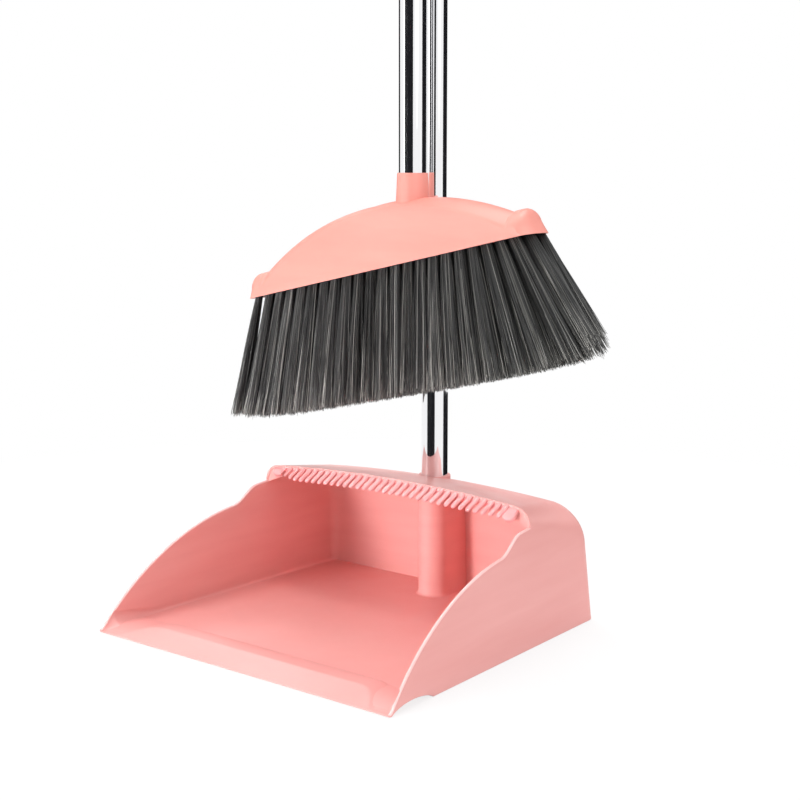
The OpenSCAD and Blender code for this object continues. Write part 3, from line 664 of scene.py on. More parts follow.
COMB_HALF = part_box("hair_comb")[1].x - 2 * MM
TOOTH_COUNT = 34
TOOTH_SPAN = COMB_HALF - 6 * MM
RIB_WIDTH, RIB_LENGTH, RIB_SWAY = 4.4 * MM, 13.8 * MM, 1.8 * MM
LOWER_LEFT, LOWER_RIGHT = 0.42, 0.12   # share of its height that the comb loses at each end
LOWER_FROM, LOWER_RUN = 86 * MM, 32 * MM


def hood_edge(x, drop=0.0):
    """Height of the hood's front edge at x, over the crown and down round the shoulder."""
    centre = half_width(HOOD_Y) - HOOD_H * math.tan(LEAN) - SHOULDER_R
    past = min(max(abs(x) - centre, 0), SHOULDER_R)
    crown = HOOD_CROWN * (min(abs(x), centre) / half_width(HOOD_Y)) ** 2
    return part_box("hair_comb")[1].z - drop - crown - SHOULDER_R + math.sqrt(SHOULDER_R ** 2 - past ** 2)


def comb_size(x):
    """The comb gets lower where it follows the hood's shoulder."""
    return 1 - (LOWER_LEFT if x < 0 else LOWER_RIGHT) * smooth((abs(x) - LOWER_FROM) / LOWER_RUN)


def group_input(tree, name, kind="NodeSocketFloat"):
    """A named input of a node group, as the identifier that a modifier sets it by."""
    return tree.interface.new_socket(name, in_out="INPUT", socket_type=kind).identifier


def geometry_group(name):
    """An empty node group that takes and gives a geometry."""
    tree = bpy.data.node_groups.new(name, "GeometryNodeTree")
    tree.interface.new_socket("Geometry", in_out="INPUT", socket_type="NodeSocketGeometry")
    tree.interface.new_socket("Geometry", in_out="OUTPUT", socket_type="NodeSocketGeometry")
    return tree


def math_node(tree, operation, *values):
    return add(tree, "ShaderNodeMath", dict(enumerate(values)), operation=operation).outputs[0]


def vector_node(tree, operation, first, second=None, scale=None):
    inputs = {k: value for k, value in ((0, first), (1, second), (3, scale)) if value is not None}
    return add(tree, "ShaderNodeVectorMath", inputs, operation=operation).outputs[0]


def named_field(tree, name, kind="FLOAT"):
    """A node that reads a value stored on every point."""
    return add(tree, "GeometryNodeInputNamedAttribute", {0: name}, data_type=kind).outputs[0]


def point_field(mesh, name, values, kind="FLOAT"):
    """Stores a value on every point of a mesh, for a node group to read."""
    field = mesh.attributes.new(name, kind, "POINT")
    for item, value in zip(field.data, values):
        setattr(item, "value" if kind == "FLOAT" else "vector", value)


def bake_with(piece, tree, values):
    """Puts a node group on a piece, sets its named inputs, and bakes the result to a plain mesh."""
    modifier = piece.modifiers.new("grow", "NODES")
    modifier.node_group = tree
    for identifier, value in values.items():
        modifier[identifier] = value
    mesh = evaluated_mesh(piece)
    piece.modifiers.clear()
    piece.data = mesh
    clean(piece, 60, merge=0.000001)


def comb_teeth():
    """Row of wavy ribs: each one a flattened round rib laid down the slope of the comb."""
    tree = geometry_group("comb_teeth")
    width, length, sway = (group_input(tree, name) for name in ("Rib Width", "Rib Length", "Sway"))
    start, end = tree.nodes.new("NodeGroupInput"), tree.nodes.new("NodeGroupOutput")
    width_out, length_out, sway_out = (start.outputs[n] for n in ("Rib Width", "Rib Length", "Sway"))
    radius = math_node(tree, "MULTIPLY", width_out, 0.5)
    line = add(tree, "GeometryNodeCurvePrimitiveLine", {1: (0, 0, 1)})
    line = add(tree, "GeometryNodeResampleCurve", {0: line.outputs[0], 2: 18})
    along = add(tree, "GeometryNodeSplineParameter").outputs[0]
    turn = math_node(tree, "COSINE", math_node(tree, "MULTIPLY", along, math.pi * 1.08))
    down = math_node(tree, "MULTIPLY", math_node(tree, "MULTIPLY", along, length_out), -math.sqrt(0.5))
    place = add(tree, "ShaderNodeCombineXYZ", {
        0: math_node(tree, "MULTIPLY", turn, sway_out), 1: down, 2: down})
    bent = add(tree, "GeometryNodeSetPosition", {0: line.outputs[0], 2: place.outputs[0]})
    # the last width of the rib rounds off to a dome
    past = math_node(tree, "MAXIMUM", math_node(tree, "SUBTRACT", math_node(tree, "MULTIPLY", math_node(
        tree, "SUBTRACT", along, 1.0), math_node(tree, "DIVIDE", length_out, radius)), -1.0), 0.0)
    dome = math_node(tree, "SQRT", math_node(tree, "MAXIMUM", math_node(
        tree, "SUBTRACT", 1.0, math_node(tree, "MULTIPLY", past, past)), 0.02))
    profile = add(tree, "GeometryNodeCurvePrimitiveCircle", {0: 14, 4: 1.0})
    flat = add(tree, "GeometryNodeTransform", {0: profile.outputs[0], 3: (1.0, 0.72, 1.0)})
    rib = add(tree, "GeometryNodeCurveToMesh", {
        0: bent.outputs[0], 1: flat.outputs[0], 2: math_node(tree, "MULTIPLY", dome, radius), 3: True})
    row = add(tree, "GeometryNodeInstanceOnPoints", {
        0: start.outputs["Geometry"], 2: rib.outputs[0], 6: named_field(tree, "size")})
    real = add(tree, "GeometryNodeRealizeInstances", {0: row.outputs[0]})
    shaded = add(tree, "GeometryNodeSetMaterial", {0: real.outputs[0], 2: COMB_PINK})
    tree.links.new(shaded.outputs[0], end.inputs[0])
    pitch = 2 * TOOTH_SPAN / TOOTH_COUNT
    mesh = bpy.data.meshes.new("comb_ribs")
    places = [(k - (TOOTH_COUNT - 1) / 2) * pitch for k in range(TOOTH_COUNT)]
    mesh.from_pydata([(x, HOOD_Y - 2.4 * MM, hood_edge(x, 0.9 * MM)) for x in places], [], [])
    point_field(mesh, "size", [comb_size(x) for x in places])
    piece = linked("comb_ribs", mesh)
    bake_with(piece, tree, {width: RIB_WIDTH, length: RIB_LENGTH, sway: RIB_SWAY})
    return piece


def comb_strip():
    """Rounded strip along the hood's front edge that carries the ribs."""
    points = []
    profile = [(-0.1, 0.5), (-0.5, 0.05), (-1.3, -0.1), (-2.5, -0.55), (-3.0, -1.3), (-3.0, -4.6),
               (-2.6, -5.4), (-0.1, -5.4)]
    stations = 49
    for i in range(stations):
        x = lerp(-COMB_HALF, COMB_HALF, i / (stations - 1))
        for y, z in profile:
            points.append((x, HOOD_Y + y * MM, hood_edge(x, 0.5 * MM) + z * MM * comb_size(x)))
    return new_mesh("comb_strip", points, capped_rings(stations, len(profile)), COMB_PINK, sharp=50)


def comb_end(name, side):
    """Large rounded lobe at one end of the comb."""
    half, thick = 6 * MM, 3.4 * MM
    x0 = side * (COMB_HALF - 4 * MM)
    length = 14 * MM * comb_size(x0)
    outline = [(-half, 0)] + arc((0, half - length), half, 180, 360, 12) + [(half, 0)]
    outline = [(u, v + hood_edge(x0 + u) - hood_edge(x0)) for u, v in outline]
    levels = [(0.0, 0.86), (0.12, 1.0), (0.6, 1.0), (0.86, 0.94), (1.0, 0.80)]
    slope = math.sqrt(0.5)
    points = []
    for depth, size in levels:
        out = (depth - 1) * thick + 0.2 * MM
        for u, v in outline:
            u, v = u * size, lerp(-length / 2, v, size)
            points.append((x0 + u, HOOD_Y - 0.6 * MM + (v - out - thick * 0.7) * slope,
                           hood_edge(x0, 0.9 * MM) + (v + out) * slope))
    return new_mesh(name, points, capped_rings(len(levels), len(outline)), COMB_PINK, sharp=60)


# ---------------------------------------------------------------- broom head

HEAD_TILT = math.radians(12.6)
HEAD_HALF = 149 * MM
HEAD_T = 17.5 * MM
HEAD_H = 51 * MM
HEAD_DOME = 5.4 * MM
DOME_MORE = 6 * MM
ARCH_END = 130 * MM
ARCH_FULLER = 1.2 * MM
TIP_H = 19 * MM
TIP_R = 6 * MM
TIP_SLANT = 4 * MM
TIP_RISE = 1.5 * MM
TIP_FALL = 11 * MM
TIP_ROUND = 6 * MM       # how far a tip's end draws in towards the front and back faces
TIP_STEP = 3 * MM        # width of the step from a tip up to the arch
SHELL = 2.4 * MM
HEAD_SIDE = 24 * MM
HEAD_Z = 277 * MM
HEAD_FRAME = (Matrix.Translation((-HEAD_SIDE, BROOM_POLE.y, HEAD_Z))
              @ Matrix.Rotation(-HEAD_TILT, 4, "Y"))
ARCH_RISE = HEAD_H - TIP_H
ARCH_R = (ARCH_END ** 2 + ARCH_RISE ** 2) / (2 * ARCH_RISE)


def arch_z(x):
    """Height of the arch over the head's foot."""
    fuller = ARCH_FULLER * math.sin(math.pi * min(abs(x) / ARCH_END, 1))
    return HEAD_H - ARCH_R + math.sqrt(ARCH_R ** 2 - x * x) + fuller


def head_fall(x, share):
    """How far the head's top falls from its crown, at x, towards the faces."""
    return (HEAD_DOME + DOME_MORE * (x / ARCH_END) ** 2) * share ** 2


def head_outline(share, drop, inset):
    """One slice of the head: (x, z) from the left foot over the top to the right foot.

    share is 0 in the middle of the head's thickness and 1 at its front and back faces.
    """
    end = HEAD_HALF - inset - TIP_ROUND * share ** 4
    shoulder = end - TIP_SLANT
    tip_top = TIP_H + TIP_RISE - TIP_FALL * share ** 2
    points = [(end, 0.0), (end - TIP_SLANT / 2, (tip_top - TIP_R) / 2)]
    for k in range(7):
        angle = math.radians(90 * k / 6)
        points.append((shoulder - TIP_R * (1 - math.cos(angle)), tip_top - TIP_R * (1 - math.sin(angle))))
    arch_count = 44
    for k in range(1, 4):
        points.append((lerp(shoulder - TIP_R, ARCH_END + TIP_STEP / 2, k / 3), tip_top))
    for k in range(1, 7):
        x = ARCH_END + TIP_STEP / 2 - TIP_STEP * k / 6
        points.append((x, lerp(tip_top, arch_z(x) - head_fall(x, share), smooth(k / 6))))
    for k in range(1, arch_count + 1):
        x = (ARCH_END - TIP_STEP / 2) * (1 - k / arch_count)
        points.append((x, arch_z(x) - head_fall(x, share)))
    points = [(x, max(z - (drop + inset if k > 1 else 0), 0)) for k, (x, z) in enumerate(points)]
    return [(-x, z) for x, z in points] + [(x, z) for x, z in reversed(points[:-1])]


def head_moulding():
    """Arched, hollow head with square tips and a domed top."""
    edge = 1.6 * MM

    def skin(inset):
        half = HEAD_T - inset
        rows = []
        places = [(k / 10 * (half - edge), 0.0) for k in range(-10, 11)]
        rounding = [(half - edge + edge * math.sin(a), edge * (1 - math.cos(a)))
                    for a in (math.radians(15 * k) for k in range(1, 7))]
        places = [(-y, d) for y, d in reversed(rounding)] + places + rounding
        for y, drop in places:
            share = min(abs(y) / HEAD_T, 1)
            rows.append([HEAD_FRAME @ Vector((x, y, z)) for x, z in head_outline(share, drop, inset)])
        return rows

    points, faces = [], []
    outer, inner = skin(0), skin(SHELL)
    count, rows = len(outer[0]), len(outer)
    for surface in (outer, inner):
        start = len(points)
        for row in surface:
            points.extend(row)
        faces += grid_faces(rows, count, start)
        faces.append(tuple(start + k for k in range(count)))
        faces.append(tuple(start + (rows - 1) * count + k for k in range(count)))
    total = rows * count
    for j in range(rows - 1):
        for k in (0, count - 1):
            a, b = j * count + k, (j + 1) * count + k
            faces.append((a, b, b + total, a + total))
    for j in (0, rows - 1):
        a, b = j * count, j * count + count - 1
        faces.append((a, b, b + total, a + total))
    return new_mesh("head_moulding", points, faces, HEAD_PINK)


def head_collar():
    """Tapered collar on the head round its pole."""
    bore, high, low = WIDE_R + RUNNING, COLLAR_TOP, COLLAR_TOP - 31 * MM
    top, foot, edge = 12.3 * MM, 13.7 * MM, 0.6 * MM
    profile = [(bore, low), (foot, low), (top, high - edge)]
    profile += rounded_top(top, high, edge, 3) + [(bore, high)]
    return turned("head_collar", profile, BROOM_POLE, HEAD_PINK)


# ---------------------------------------------------------------- end caps and clip


def bevelled_plate(name, outlines, thickness, edge, frame_of, material):
    """Flat plate with holes and rounded edges, from closed outlines in its own plane."""
    curve = bpy.data.curves.new(name, "CURVE")
    curve.dimensions = "2D"
    curve.fill_mode = "BOTH"
    curve.extrude = thickness / 2 - edge
    curve.bevel_depth = edge
    curve.bevel_resolution = 2
    curve.offset = -edge
    for outline in outlines:
        spline = curve.splines.new("POLY")
        spline.points.add(len(outline) - 1)
        for point, (x, y) in zip(spline.points, outline):
            point.co = (x, y, 0, 1)
        spline.use_cyclic_u = True
    form = linked(name, curve)
    mesh = evaluated_mesh(form)
    bpy.data.objects.remove(form)
    bpy.data.curves.remove(curve)
    mesh.transform(frame_of)
    mesh.materials.clear()
    mesh.materials.append(material)
    piece = linked(name, mesh)
    clean(piece, 35)
    return piece


def arc(centre, radius, first, last, steps=24):
    """Points of an arc between two angles in degrees."""
    angles = [math.radians(lerp(first, last, k / steps)) for k in range(steps + 1)]
    return [(centre[0] + radius * math.cos(a), centre[1] + radius * math.sin(a)) for a in angles]


def end_cap(name, node):
    """Domed cap on the top of a pole, with a plug that fills the tube."""
    low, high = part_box(node)
    axis = (low + high) / 2
    shoulder = high.z - 34 * MM
    r, plug, edge, neck, dome, dome_steps = 14 * MM, 8.15 * MM, 0.5 * MM, 3 * MM, 8 * MM, 8
    profile = [(0.0, low.z), (plug, low.z), (plug, shoulder), (r - edge, shoulder), (r, shoulder + edge),
               (r, shoulder + neck)]
    last = math.degrees(math.asin(dome / r))
    profile += arc((0, shoulder + neck), r, 0, last, dome_steps)[1:]
    profile += [(0.0, shoulder + neck + dome)]
    return turned(name, profile, axis, GRIP_PINK, sharp=30)


def hanging_loop(name, node):
    """Flat loop on a cap, with its hole."""
    low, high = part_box(node)
    axis = (low + high) / 2
    half, hole, thick = 10.5 * MM, 5.5 * MM, 9 * MM
    foot, middle = high.z - 27 * MM, high.z - half
    outline = [(-half, foot - middle)] + arc((0, 0), half, 180, 0) + [(half, foot - middle)]
    place = Matrix.Translation((axis.x, axis.y, middle)) @ Matrix.Rotation(math.pi / 2, 4, "X")
    rings = [outline, arc((0, 0), hole, 0, 360, 40)[:-1]]
    return bevelled_plate(name, rings, thick, 1.2 * MM, place, GRIP_PINK)


def pole_clip():
    """Clip: a ring round the pan's pole, a neck, and a fork that grips the broom's pole."""
    low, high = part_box("broom_clip")
    ring, cradle, outer, bore = 13.08 * MM, 11.25 * MM, 14.25 * MM, NARROW_R + RUNNING
    far, near = (PAN_POLE.x, PAN_POLE.y), (BROOM_POLE.x, BROOM_POLE.y)
    reach, tip, neck = 9 * MM, 1.5 * MM, 7 * MM
    side = math.degrees(math.acos(neck / outer))
    back = math.degrees(math.acos(neck / ring))
    foot = near[1] - reach
    outline = arc((near[0] + cradle + tip, foot), tip, 180, 360, 8) + arc(near, outer, 0, side)
    outline += arc(far, ring, -back, 180 + back, 48) + arc(near, outer, 180 - side, 180)
    outline += arc((near[0] - cradle - tip, foot), tip, 180, 360, 8) + arc(near, cradle, 180, 0, 36)
    place = Matrix.Translation((0, 0, (low.z + high.z) / 2))
    hole = arc(far, bore, 0, 360, 64)[:-1]
    return bevelled_plate("pole_clip", [outline, hole], high.z - low.z, 0.6 * MM, place, GRIP_PINK)


# ---------------------------------------------------------------- bristles

TUFT_COUNT = 22
TUFT_R = 2.9 * MM
ROW_GAP = 7.5 * MM
TUFT_REACH = 104 * MM
TUFT_SHORTER = 10 * MM      # by which the outermost tufts are shorter
TUFT_SINK = 6 * MM          # depth of the roots inside the block
TUFT_SLIM = 0.7             # how much slimmer the last tufts are at the head's low end
TUFT_MARGIN = 6 * MM
CORNER_X = 184 * MM         # where the fan's trimmed corner ends, in the head's frame
FAN_CORNER = 12 * MM
FAN_LOW, FAN_HIGH = -16.2, 44           # lean of the outermost tufts, in degrees
STRAND_COUNT, STRAND_R = 190, 0.3 * MM
STRAND_BOW, STRAND_STRAY = 1.2 * MM, 2.6 * MM
ROOT_SPREAD, ROOT_SPREAD_FRONT = 6.4 * MM, 4.2 * MM
# how dark the strands get at their roots: painted shade, deep in the rear rows, slight in the front row
ROOT_PAINTED_SHADE, ROOT_PAINTED_SHADE_FRONT = 0.15, 0.9
TIP_SPREAD = 6.58 * MM
TUFT_PITCH = (2 * HEAD_HALF - 2 * SHELL - 2 * TUFT_R - 2 * TUFT_MARGIN) / (TUFT_COUNT - 0.5)


def tuft_lean(x):
    """Lean of a tuft in the head's frame: they fan out from beside the pole."""
    fan_x = HEAD_SIDE / math.cos(HEAD_TILT) * 0.6
    s, low, high = x - fan_x, HEAD_HALF + fan_x, HEAD_HALF - fan_x
    degrees = FAN_LOW * (-s / low) ** 1.3 if s < 0 else FAN_HIGH * (s / high) ** 2.2
    return math.radians(degrees) - HEAD_TILT


def strand_tree():
    """Node group that grows a bundle of tapered strands from every root point."""
    tree = geometry_group("tuft_strands")
    ids = {
        "count": group_input(tree, "Strands", "NodeSocketInt"),
        "thick": group_input(tree, "Strand Radius"), "root": group_input(tree, "Root Spread"),
        "depth": group_input(tree, "Root Depth"), "tip": group_input(tree, "Tip Spread"),
        "stray": group_input(tree, "Stray"), "root_painted_shade": group_input(tree, "Root Shade"),
        "seed": group_input(tree, "Seed", "NodeSocketInt")}
    start, end = tree.nodes.new("NodeGroupInput"), tree.nodes.new("NodeGroupOutput")
    seed, tip_spread = start.outputs["Seed"], start.outputs["Tip Spread"]

    def chance(low, high, offset, kind="FLOAT"):
        first, result = (2, 1) if kind == "FLOAT" else (0, 0)
        node = add(tree, "FunctionNodeRandomValue", {first: low, first + 1: high}, data_type=kind)
        tree.links.new(math_node(tree, "ADD", seed, offset), node.inputs["Seed"])
        return node.outputs[result]

    def stored(geometry, name, kind, value):
        return add(tree, "GeometryNodeStoreNamedAttribute", {0: geometry, 2: name, 3: value},
                   data_type=kind, domain="POINT").outputs[0]

    many = add(tree, "GeometryNodeDuplicateElements", {
        0: start.outputs["Geometry"], 2: start.outputs["Strands"]}, domain="POINT").outputs[0]
    angle = chance(0.0, 2 * math.pi, 1)
    spread = math_node(tree, "SQRT", chance(0.0, 1.0, 2))
    across, aim = (named_field(tree, name, "FLOAT_VECTOR") for name in ("across", "aim"))
    u = math_node(tree, "MULTIPLY", math_node(tree, "COSINE", angle), spread)
    v = math_node(tree, "MULTIPLY", math_node(tree, "SINE", angle), spread)

    def offset(wide, deep):
        return vector_node(
            tree, "ADD", vector_node(tree, "SCALE", across, scale=math_node(tree, "MULTIPLY", u, wide)),
            vector_node(tree, "SCALE", (0, 1, 0), scale=math_node(tree, "MULTIPLY", v, deep)))

    place = add(tree, "GeometryNodeInputPosition").outputs[0]
    root = vector_node(tree, "ADD", place, offset(start.outputs["Root Spread"], start.outputs["Root Depth"]))
    # length: uneven tips, and the corner of the fan trimmed round
    over = math_node(tree, "MAXIMUM", math_node(
        tree, "ADD", named_field(tree, "corner"), math_node(tree, "MULTIPLY", u, tip_spread)), 0.0)
    inside = math_node(tree, "MAXIMUM", math_node(
        tree, "SUBTRACT", FAN_CORNER ** 2, math_node(tree, "MULTIPLY", over, over)), 0.0)
    cut = math_node(tree, "SUBTRACT", FAN_CORNER, math_node(tree, "SQRT", inside))
    short = math_node(tree, "ADD", chance(-0.034, 0.012, 3), math_node(tree, "MULTIPLY", cut, -10.0))
    length = math_node(tree, "ADD", 1.0, short)
    jitter = chance((-1, -1, 0), (1, 1, 0), 4, "FLOAT_VECTOR")
    tip = vector_node(tree, "ADD", place, vector_node(tree, "SCALE", aim, scale=length))
    tip = vector_node(tree, "ADD", tip, offset(tip_spread, tip_spread))
    tip = vector_node(tree, "ADD", tip, vector_node(tree, "SCALE", jitter, scale=start.outputs["Stray"]))
    bow = chance((-STRAND_BOW,) * 3, (STRAND_BOW,) * 3, 5, "FLOAT_VECTOR")
    many = stored(many, "root", "FLOAT_VECTOR", root)
    many = stored(many, "tip", "FLOAT_VECTOR", tip)
    many = stored(many, "bow", "FLOAT_VECTOR", bow)
    many = stored(many, "tone", "FLOAT", math_node(tree, "POWER", chance(0.0, 1.0, 6), 2.2))
    line = add(tree, "GeometryNodeCurvePrimitiveLine", {1: (0, 0, 1)})
    line = add(tree, "GeometryNodeResampleCurve", {0: line.outputs[0], 2: 6})
    strands = add(tree, "GeometryNodeInstanceOnPoints", {0: many, 2: line.outputs[0]})
    strands = add(tree, "GeometryNodeRealizeInstances", {0: strands.outputs[0]}).outputs[0]
    along = add(tree, "GeometryNodeSplineParameter").outputs[0]
    back = math_node(tree, "SUBTRACT", 1.0, along)
    wave = math_node(tree, "SINE", math_node(tree, "MULTIPLY", along, math.pi))
    from_root, to_tip, aside = (
        vector_node(tree, "SCALE", named_field(tree, name, "FLOAT_VECTOR"), scale=share)
        for name, share in (("root", back), ("tip", along), ("bow", wave)))
    bent = vector_node(tree, "ADD", vector_node(tree, "ADD", from_root, to_tip), aside)
    strands = add(tree, "GeometryNodeSetPosition", {0: strands, 2: bent}).outputs[0]
    shade = math_node(tree, "ADD", math_node(tree, "MULTIPLY", named_field(tree, "tone"), 0.8), math_node(
        tree, "MULTIPLY", math_node(tree, "POWER", along, 6.0), 0.22))
    shade = math_node(tree, "ADD", shade, 0.16)
    # painted shade: every strand darkens over the first 0.3 of its length towards its root
    rise = add(tree, "ShaderNodeMapRange", {"Value": along, "From Max": 0.3})
    tree.links.new(start.outputs["Root Shade"], rise.inputs["To Min"])
    shade = math_node(tree, "MULTIPLY", shade, rise.outputs["Result"])
    strands = stored(strands, "shade", "FLOAT", shade)
    taper = math_node(tree, "SUBTRACT", 1.0, math_node(tree, "MULTIPLY", math_node(
        tree, "POWER", along, 3.0), 0.45))
    size = math_node(tree, "MULTIPLY", taper, start.outputs["Strand Radius"])
    profile = add(tree, "GeometryNodeCurvePrimitiveCircle", {0: 3, 4: 1.0})
    hair = add(tree, "GeometryNodeCurveToMesh", {0: strands, 1: profile.outputs[0], 2: size, 3: True})
    hair = add(tree, "GeometryNodeRealizeInstances", {0: hair.outputs[0]})
    hair = add(tree, "GeometryNodeSetMaterial", {0: hair.outputs[0], 2: FIBRE})
    tree.links.new(hair.outputs[0], end.inputs[0])
    return tree, ids


def bristle_row(row, tree, ids):
    """One row of tufts, grown from its line of root points."""
    y = (row - 1.5) * ROW_GAP
    shift = (-1 if row % 2 == 0 else 1) * TUFT_PITCH / 4
    places = [(i - (TUFT_COUNT - 1) / 2) * TUFT_PITCH + shift for i in range(TUFT_COUNT)]
    mesh = bpy.data.meshes.new(f"bristle_row_{row + 1}")
    roots, aims, sides, corners = [], [], [], []
    turn = HEAD_FRAME.to_3x3()
    for x in places:
        lean = tuft_lean(x)
        reach = (TUFT_REACH - TUFT_SHORTER * (abs(x) / HEAD_HALF) ** 6) / math.cos(lean)
        direction = Vector((math.sin(lean), 0, -math.cos(lean)))
        root = Vector((x, y, 1 * MM)) - direction * TUFT_SINK
        roots.append(HEAD_FRAME @ root)
        aims.append(turn @ (direction * (reach + TUFT_SINK)))
        slim = 1 - TUFT_SLIM * max(0.0, -x / HEAD_HALF) ** 6
        sides.append(turn @ Vector((math.cos(lean), 0, math.sin(lean))) * slim)
        corners.append(x + reach * math.sin(lean) - CORNER_X + FAN_CORNER)
    mesh.from_pydata(roots, [], [])
    point_field(mesh, "aim", aims, "FLOAT_VECTOR")
    point_field(mesh, "across", sides, "FLOAT_VECTOR")
    point_field(mesh, "corner", corners)
    piece = linked(f"bristle_row_{row + 1}", mesh)
    front = row == 0
    bake_with(piece, tree, {
        ids["count"]: STRAND_COUNT, ids["thick"]: STRAND_R, ids["depth"]: TUFT_R,
        ids["root"]: ROOT_SPREAD_FRONT if front else ROOT_SPREAD, ids["tip"]: TIP_SPREAD,
        ids["stray"]: STRAND_STRAY, ids["root_painted_shade"]: ROOT_PAINTED_SHADE_FRONT if front else ROOT_PAINTED_SHADE,
        ids["seed"]: 10 * (row + 1)})
    return piece


# ---------------------------------------------------------------- scene

CAMERA_PLACE = Vector((0.72533, -0.85564, 0.36062))
CAMERA_TURN, CAMERA_TILT = math.radians(38.45), math.radians(9.12)
CAMERA_LENS, CAMERA_SENSOR = 66.316, 36
DOME_LEVEL = 0.84           # the white dome's light on the object


def make_camera():
    data = bpy.data.cameras.new("camera")
    data.sensor_width = CAMERA_SENSOR
    data.lens = CAMERA_LENS
    camera = linked("camera", data)
    camera.location = CAMERA_PLACE
    camera.rotation_euler = (math.pi / 2 - CAMERA_TILT, 0, CAMERA_TURN)
    bpy.context.scene.camera = camera


def make_world():
    """White for what the camera and the mirrors see, a soft grey dome for what lights the object."""
    world = bpy.data.worlds.new("studio")
    bpy.context.scene.world = world
    world.use_nodes = True
    tree = world.node_tree
    path = add(tree, "ShaderNodeLightPath").outputs
    seen = math_node(tree, "MAXIMUM", path["Is Camera Ray"], path["Is Glossy Ray"])
    seen = math_node(tree, "MAXIMUM", seen, path["Is Transmission Ray"])
    strength = add(tree, "ShaderNodeMapRange", {"Value": seen, "To Min": DOME_LEVEL, "To Max": 1.0})
    tree.links.new(strength.outputs["Result"], tree.nodes["Background"].inputs["Strength"])
    tree.nodes["Background"].inputs["Color"].default_value = (1, 1, 1, 1)


def area_light(name, place, target, size, power, spread=180):
    """Round softbox turned to a target; a narrow spread makes it a beam."""
    data = bpy.data.lights.new(name, "AREA")
    data.shape = "DISK"
    data.size = size
    data.energy = power
    data.spread = math.radians(spread)
    lamp = linked(name, data)
    lamp.location = place
    lamp.rotation_euler = (Vector(target) - Vector(place)).to_track_quat("-Z", "Y").to_euler()


def make_floor():
    """Pale floor that keeps a soft shadow by the object and fades into the white background."""
    reach = 4.0
    mesh = bpy.data.meshes.new("floor")
    mesh.from_pydata([(-reach, -reach, 0), (reach, -reach, 0), (reach, reach, 0), (-reach, reach, 0)], [],
                     [(0, 1, 2, 3)])
    floor = linked("floor", mesh)
    material = bpy.data.materials.new("floor_white")
    material.use_nodes = True
    tree = material.node_tree
    tree.nodes.remove(tree.nodes["Principled BSDF"])
    matte = add(tree, "ShaderNodeBsdfDiffuse", {"Color": (0.86, 0.86, 0.86, 1)})
    glow = add(tree, "ShaderNodeEmission", {"Color": (1, 1, 1, 1), "Strength": 1.0})
    place = add(tree, "ShaderNodeTexCoord").outputs["Object"]
    distance = add(tree, "ShaderNodeVectorMath", {0: place}, operation="LENGTH")
    fade = add(tree, "ShaderNodeMapRange", {
        "Value": distance.outputs["Value"], "From Min": 0.25, "From Max": 0.8, "To Min": 0.8, "To Max": 1.0})
    path = add(tree, "ShaderNodeLightPath").outputs
    seen = math_node(tree, "MAXIMUM", path["Is Camera Ray"], path["Is Glossy Ray"])
    share = math_node(tree, "MULTIPLY", seen, fade.outputs["Result"])
    mix = add(tree, "ShaderNodeMixShader", {0: share, 1: matte.outputs[0], 2: glow.outputs[0]})
    tree.links.new(mix.outputs[0], tree.nodes["Material Output"].inputs["Surface"])
    mesh.materials.append(material)


def dark_card(name, first, last, low, high, radius=0.46):
    """Black studio card on an arc round the object. Only mirrors see it."""
    points, faces = [], []
    steps = 24
    for k in range(steps + 1):
        angle = math.radians(lerp(first, last, k / steps))
        for z in (low, high):
            points.append((radius * math.sin(angle), -radius * math.cos(angle), z))
    for k in range(steps):
        faces.append((2 * k, 2 * k + 2, 2 * k + 3, 2 * k + 1))
    mesh = bpy.data.meshes.new(name)
    mesh.from_pydata(points, [], faces)
    material, tree, shader = new_material(name)
    shader.inputs["Base Color"].default_value = (0.012, 0.012, 0.014, 1)
    shader.inputs["Roughness"].default_value = 0.9
    shader.inputs["Specular IOR Level"].default_value = 0
    mesh.materials.append(material)
    card = linked(name, mesh)
    card.visible_camera = False
    card.visible_diffuse = False
    card.visible_shadow = False
    card.visible_transmission = False


def make_studio():
    make_camera()
    make_world()
    make_floor()
    dark_card("front_card", -36, 46, 0.002, 1.9)
    dark_card("rear_card", 128, 262, 0.2, 1.9)
    dark_card("low_card", 128, 194, 0.002, 0.12)
    area_light("top_softbox", (-0.1, 0.35, 1.9), (0, 0, 0.1), 1.3, 19)
    area_light("front_softbox", (-0.8, -1.5, 0.85), (0, 0, 0.15), 1.2, 5.8)
    area_light("low_beam", (-0.33, -1.33, 0.14), (0.0, 0.08, 0.05), 0.5, 0.43, spread=20)
    area_light("side_softbox", (1.8, -0.5, 0.9), (0, 0, 0.15), 1.0, 1.5)
    area_light("rear_softbox", (-1.0, 0.75, 1.0), (0, -0.12, 0), 0.5, 5)


# ---------------------------------------------------------------- assembly


def belongs(piece, body, slot, *nodes):
    """Puts a piece on its body, in place of the construction pieces it covers. The slot is not used."""
    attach(piece, body)
    if nodes:
        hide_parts(*nodes)


def paint(node, material):
    """Gives a carried construction piece its finish."""
    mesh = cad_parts[node].data
    mesh.materials.clear()
    mesh.materials.append(material)


make_studio()

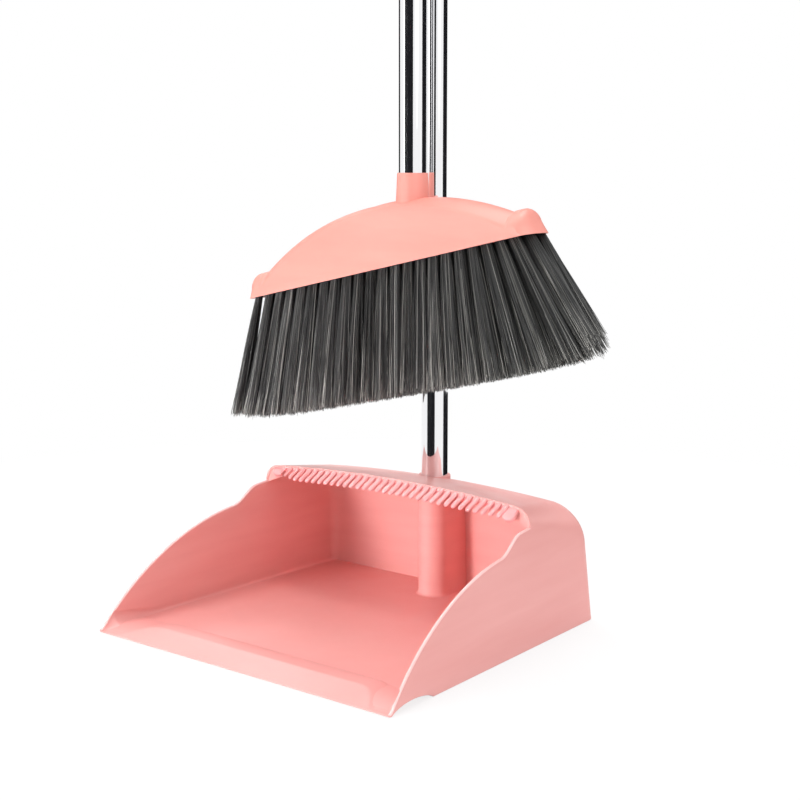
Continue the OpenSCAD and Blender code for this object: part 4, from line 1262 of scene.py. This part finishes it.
belongs(pan_body(), "pan", "pan_plastic", "pan_body")
belongs(pole_boss(), "pan", "pan_plastic", "pan_body")
belongs(boss_collar(), "pan", "pan_plastic", "pan_body")

for side, name in ((-1, "left"), (1, "right")):
    belongs(hood_web(f"{name}_web", side), "pan", "pan_plastic", "pan_body")
    belongs(comb_end(f"{name}_comb_end", side), "pan", "comb_plastic", "hair_comb")
belongs(comb_teeth(), "pan", "comb_plastic", "hair_comb")
belongs(comb_strip(), "pan", "comb_plastic", "hair_comb")

belongs(head_moulding(), "broom", "head_plastic", "head_shell")
belongs(head_collar(), "broom", "head_plastic", "head_shell")
belongs(pole_clip(), "clip", "clip_plastic", "broom_clip")
strands, inputs = strand_tree()
for row in range(4):
    belongs(bristle_row(row, strands, inputs), "broom", "bristle", f"tuft_row_{row + 1}")

# the tuft block gets the black plastic, which makes the line under the head's foot dark
for node in ("tuft_block", "pan_lock_sleeve", "broom_lock_sleeve"):
    paint(node, BLACK)
for node in ("pan_pole_plug", "broom_pole_plug", "pan_lock_cone", "broom_lock_cone"):
    paint(node, NYLON)
for node in ("pan_pole_screw", "broom_pole_screw"):
    paint(node, ZINC)

for pole, lower, upper in (("pan", "pan", "pan_pole_top"), ("broom", "broom", "broom_pole_top")):
    belongs(tube(f"{pole}_wide_tube", f"{pole}_tube_lower", WIDE_R), lower, "polished_steel",
            f"{pole}_tube_lower")
    belongs(tube(f"{pole}_narrow_tube", f"{pole}_tube_upper", NARROW_R), upper, "polished_steel",
            f"{pole}_tube_upper")
    belongs(bush_flange(f"{pole}_bush", f"{pole}_guide_bush"), lower, "dark_plastic", f"{pole}_guide_bush")
    belongs(grip(f"{pole}_soft_grip", f"{pole}_grip"), upper, "grip_plastic", f"{pole}_grip")
    belongs(end_cap(f"{pole}_domed_cap", f"{pole}_end_cap"), upper, "grip_plastic", f"{pole}_end_cap")
    belongs(hanging_loop(f"{pole}_loop", f"{pole}_end_cap"), upper, "grip_plastic", f"{pole}_end_cap")

bpy.context.scene.view_settings.view_transform = "Standard"
bpy.context.view_layer.update()
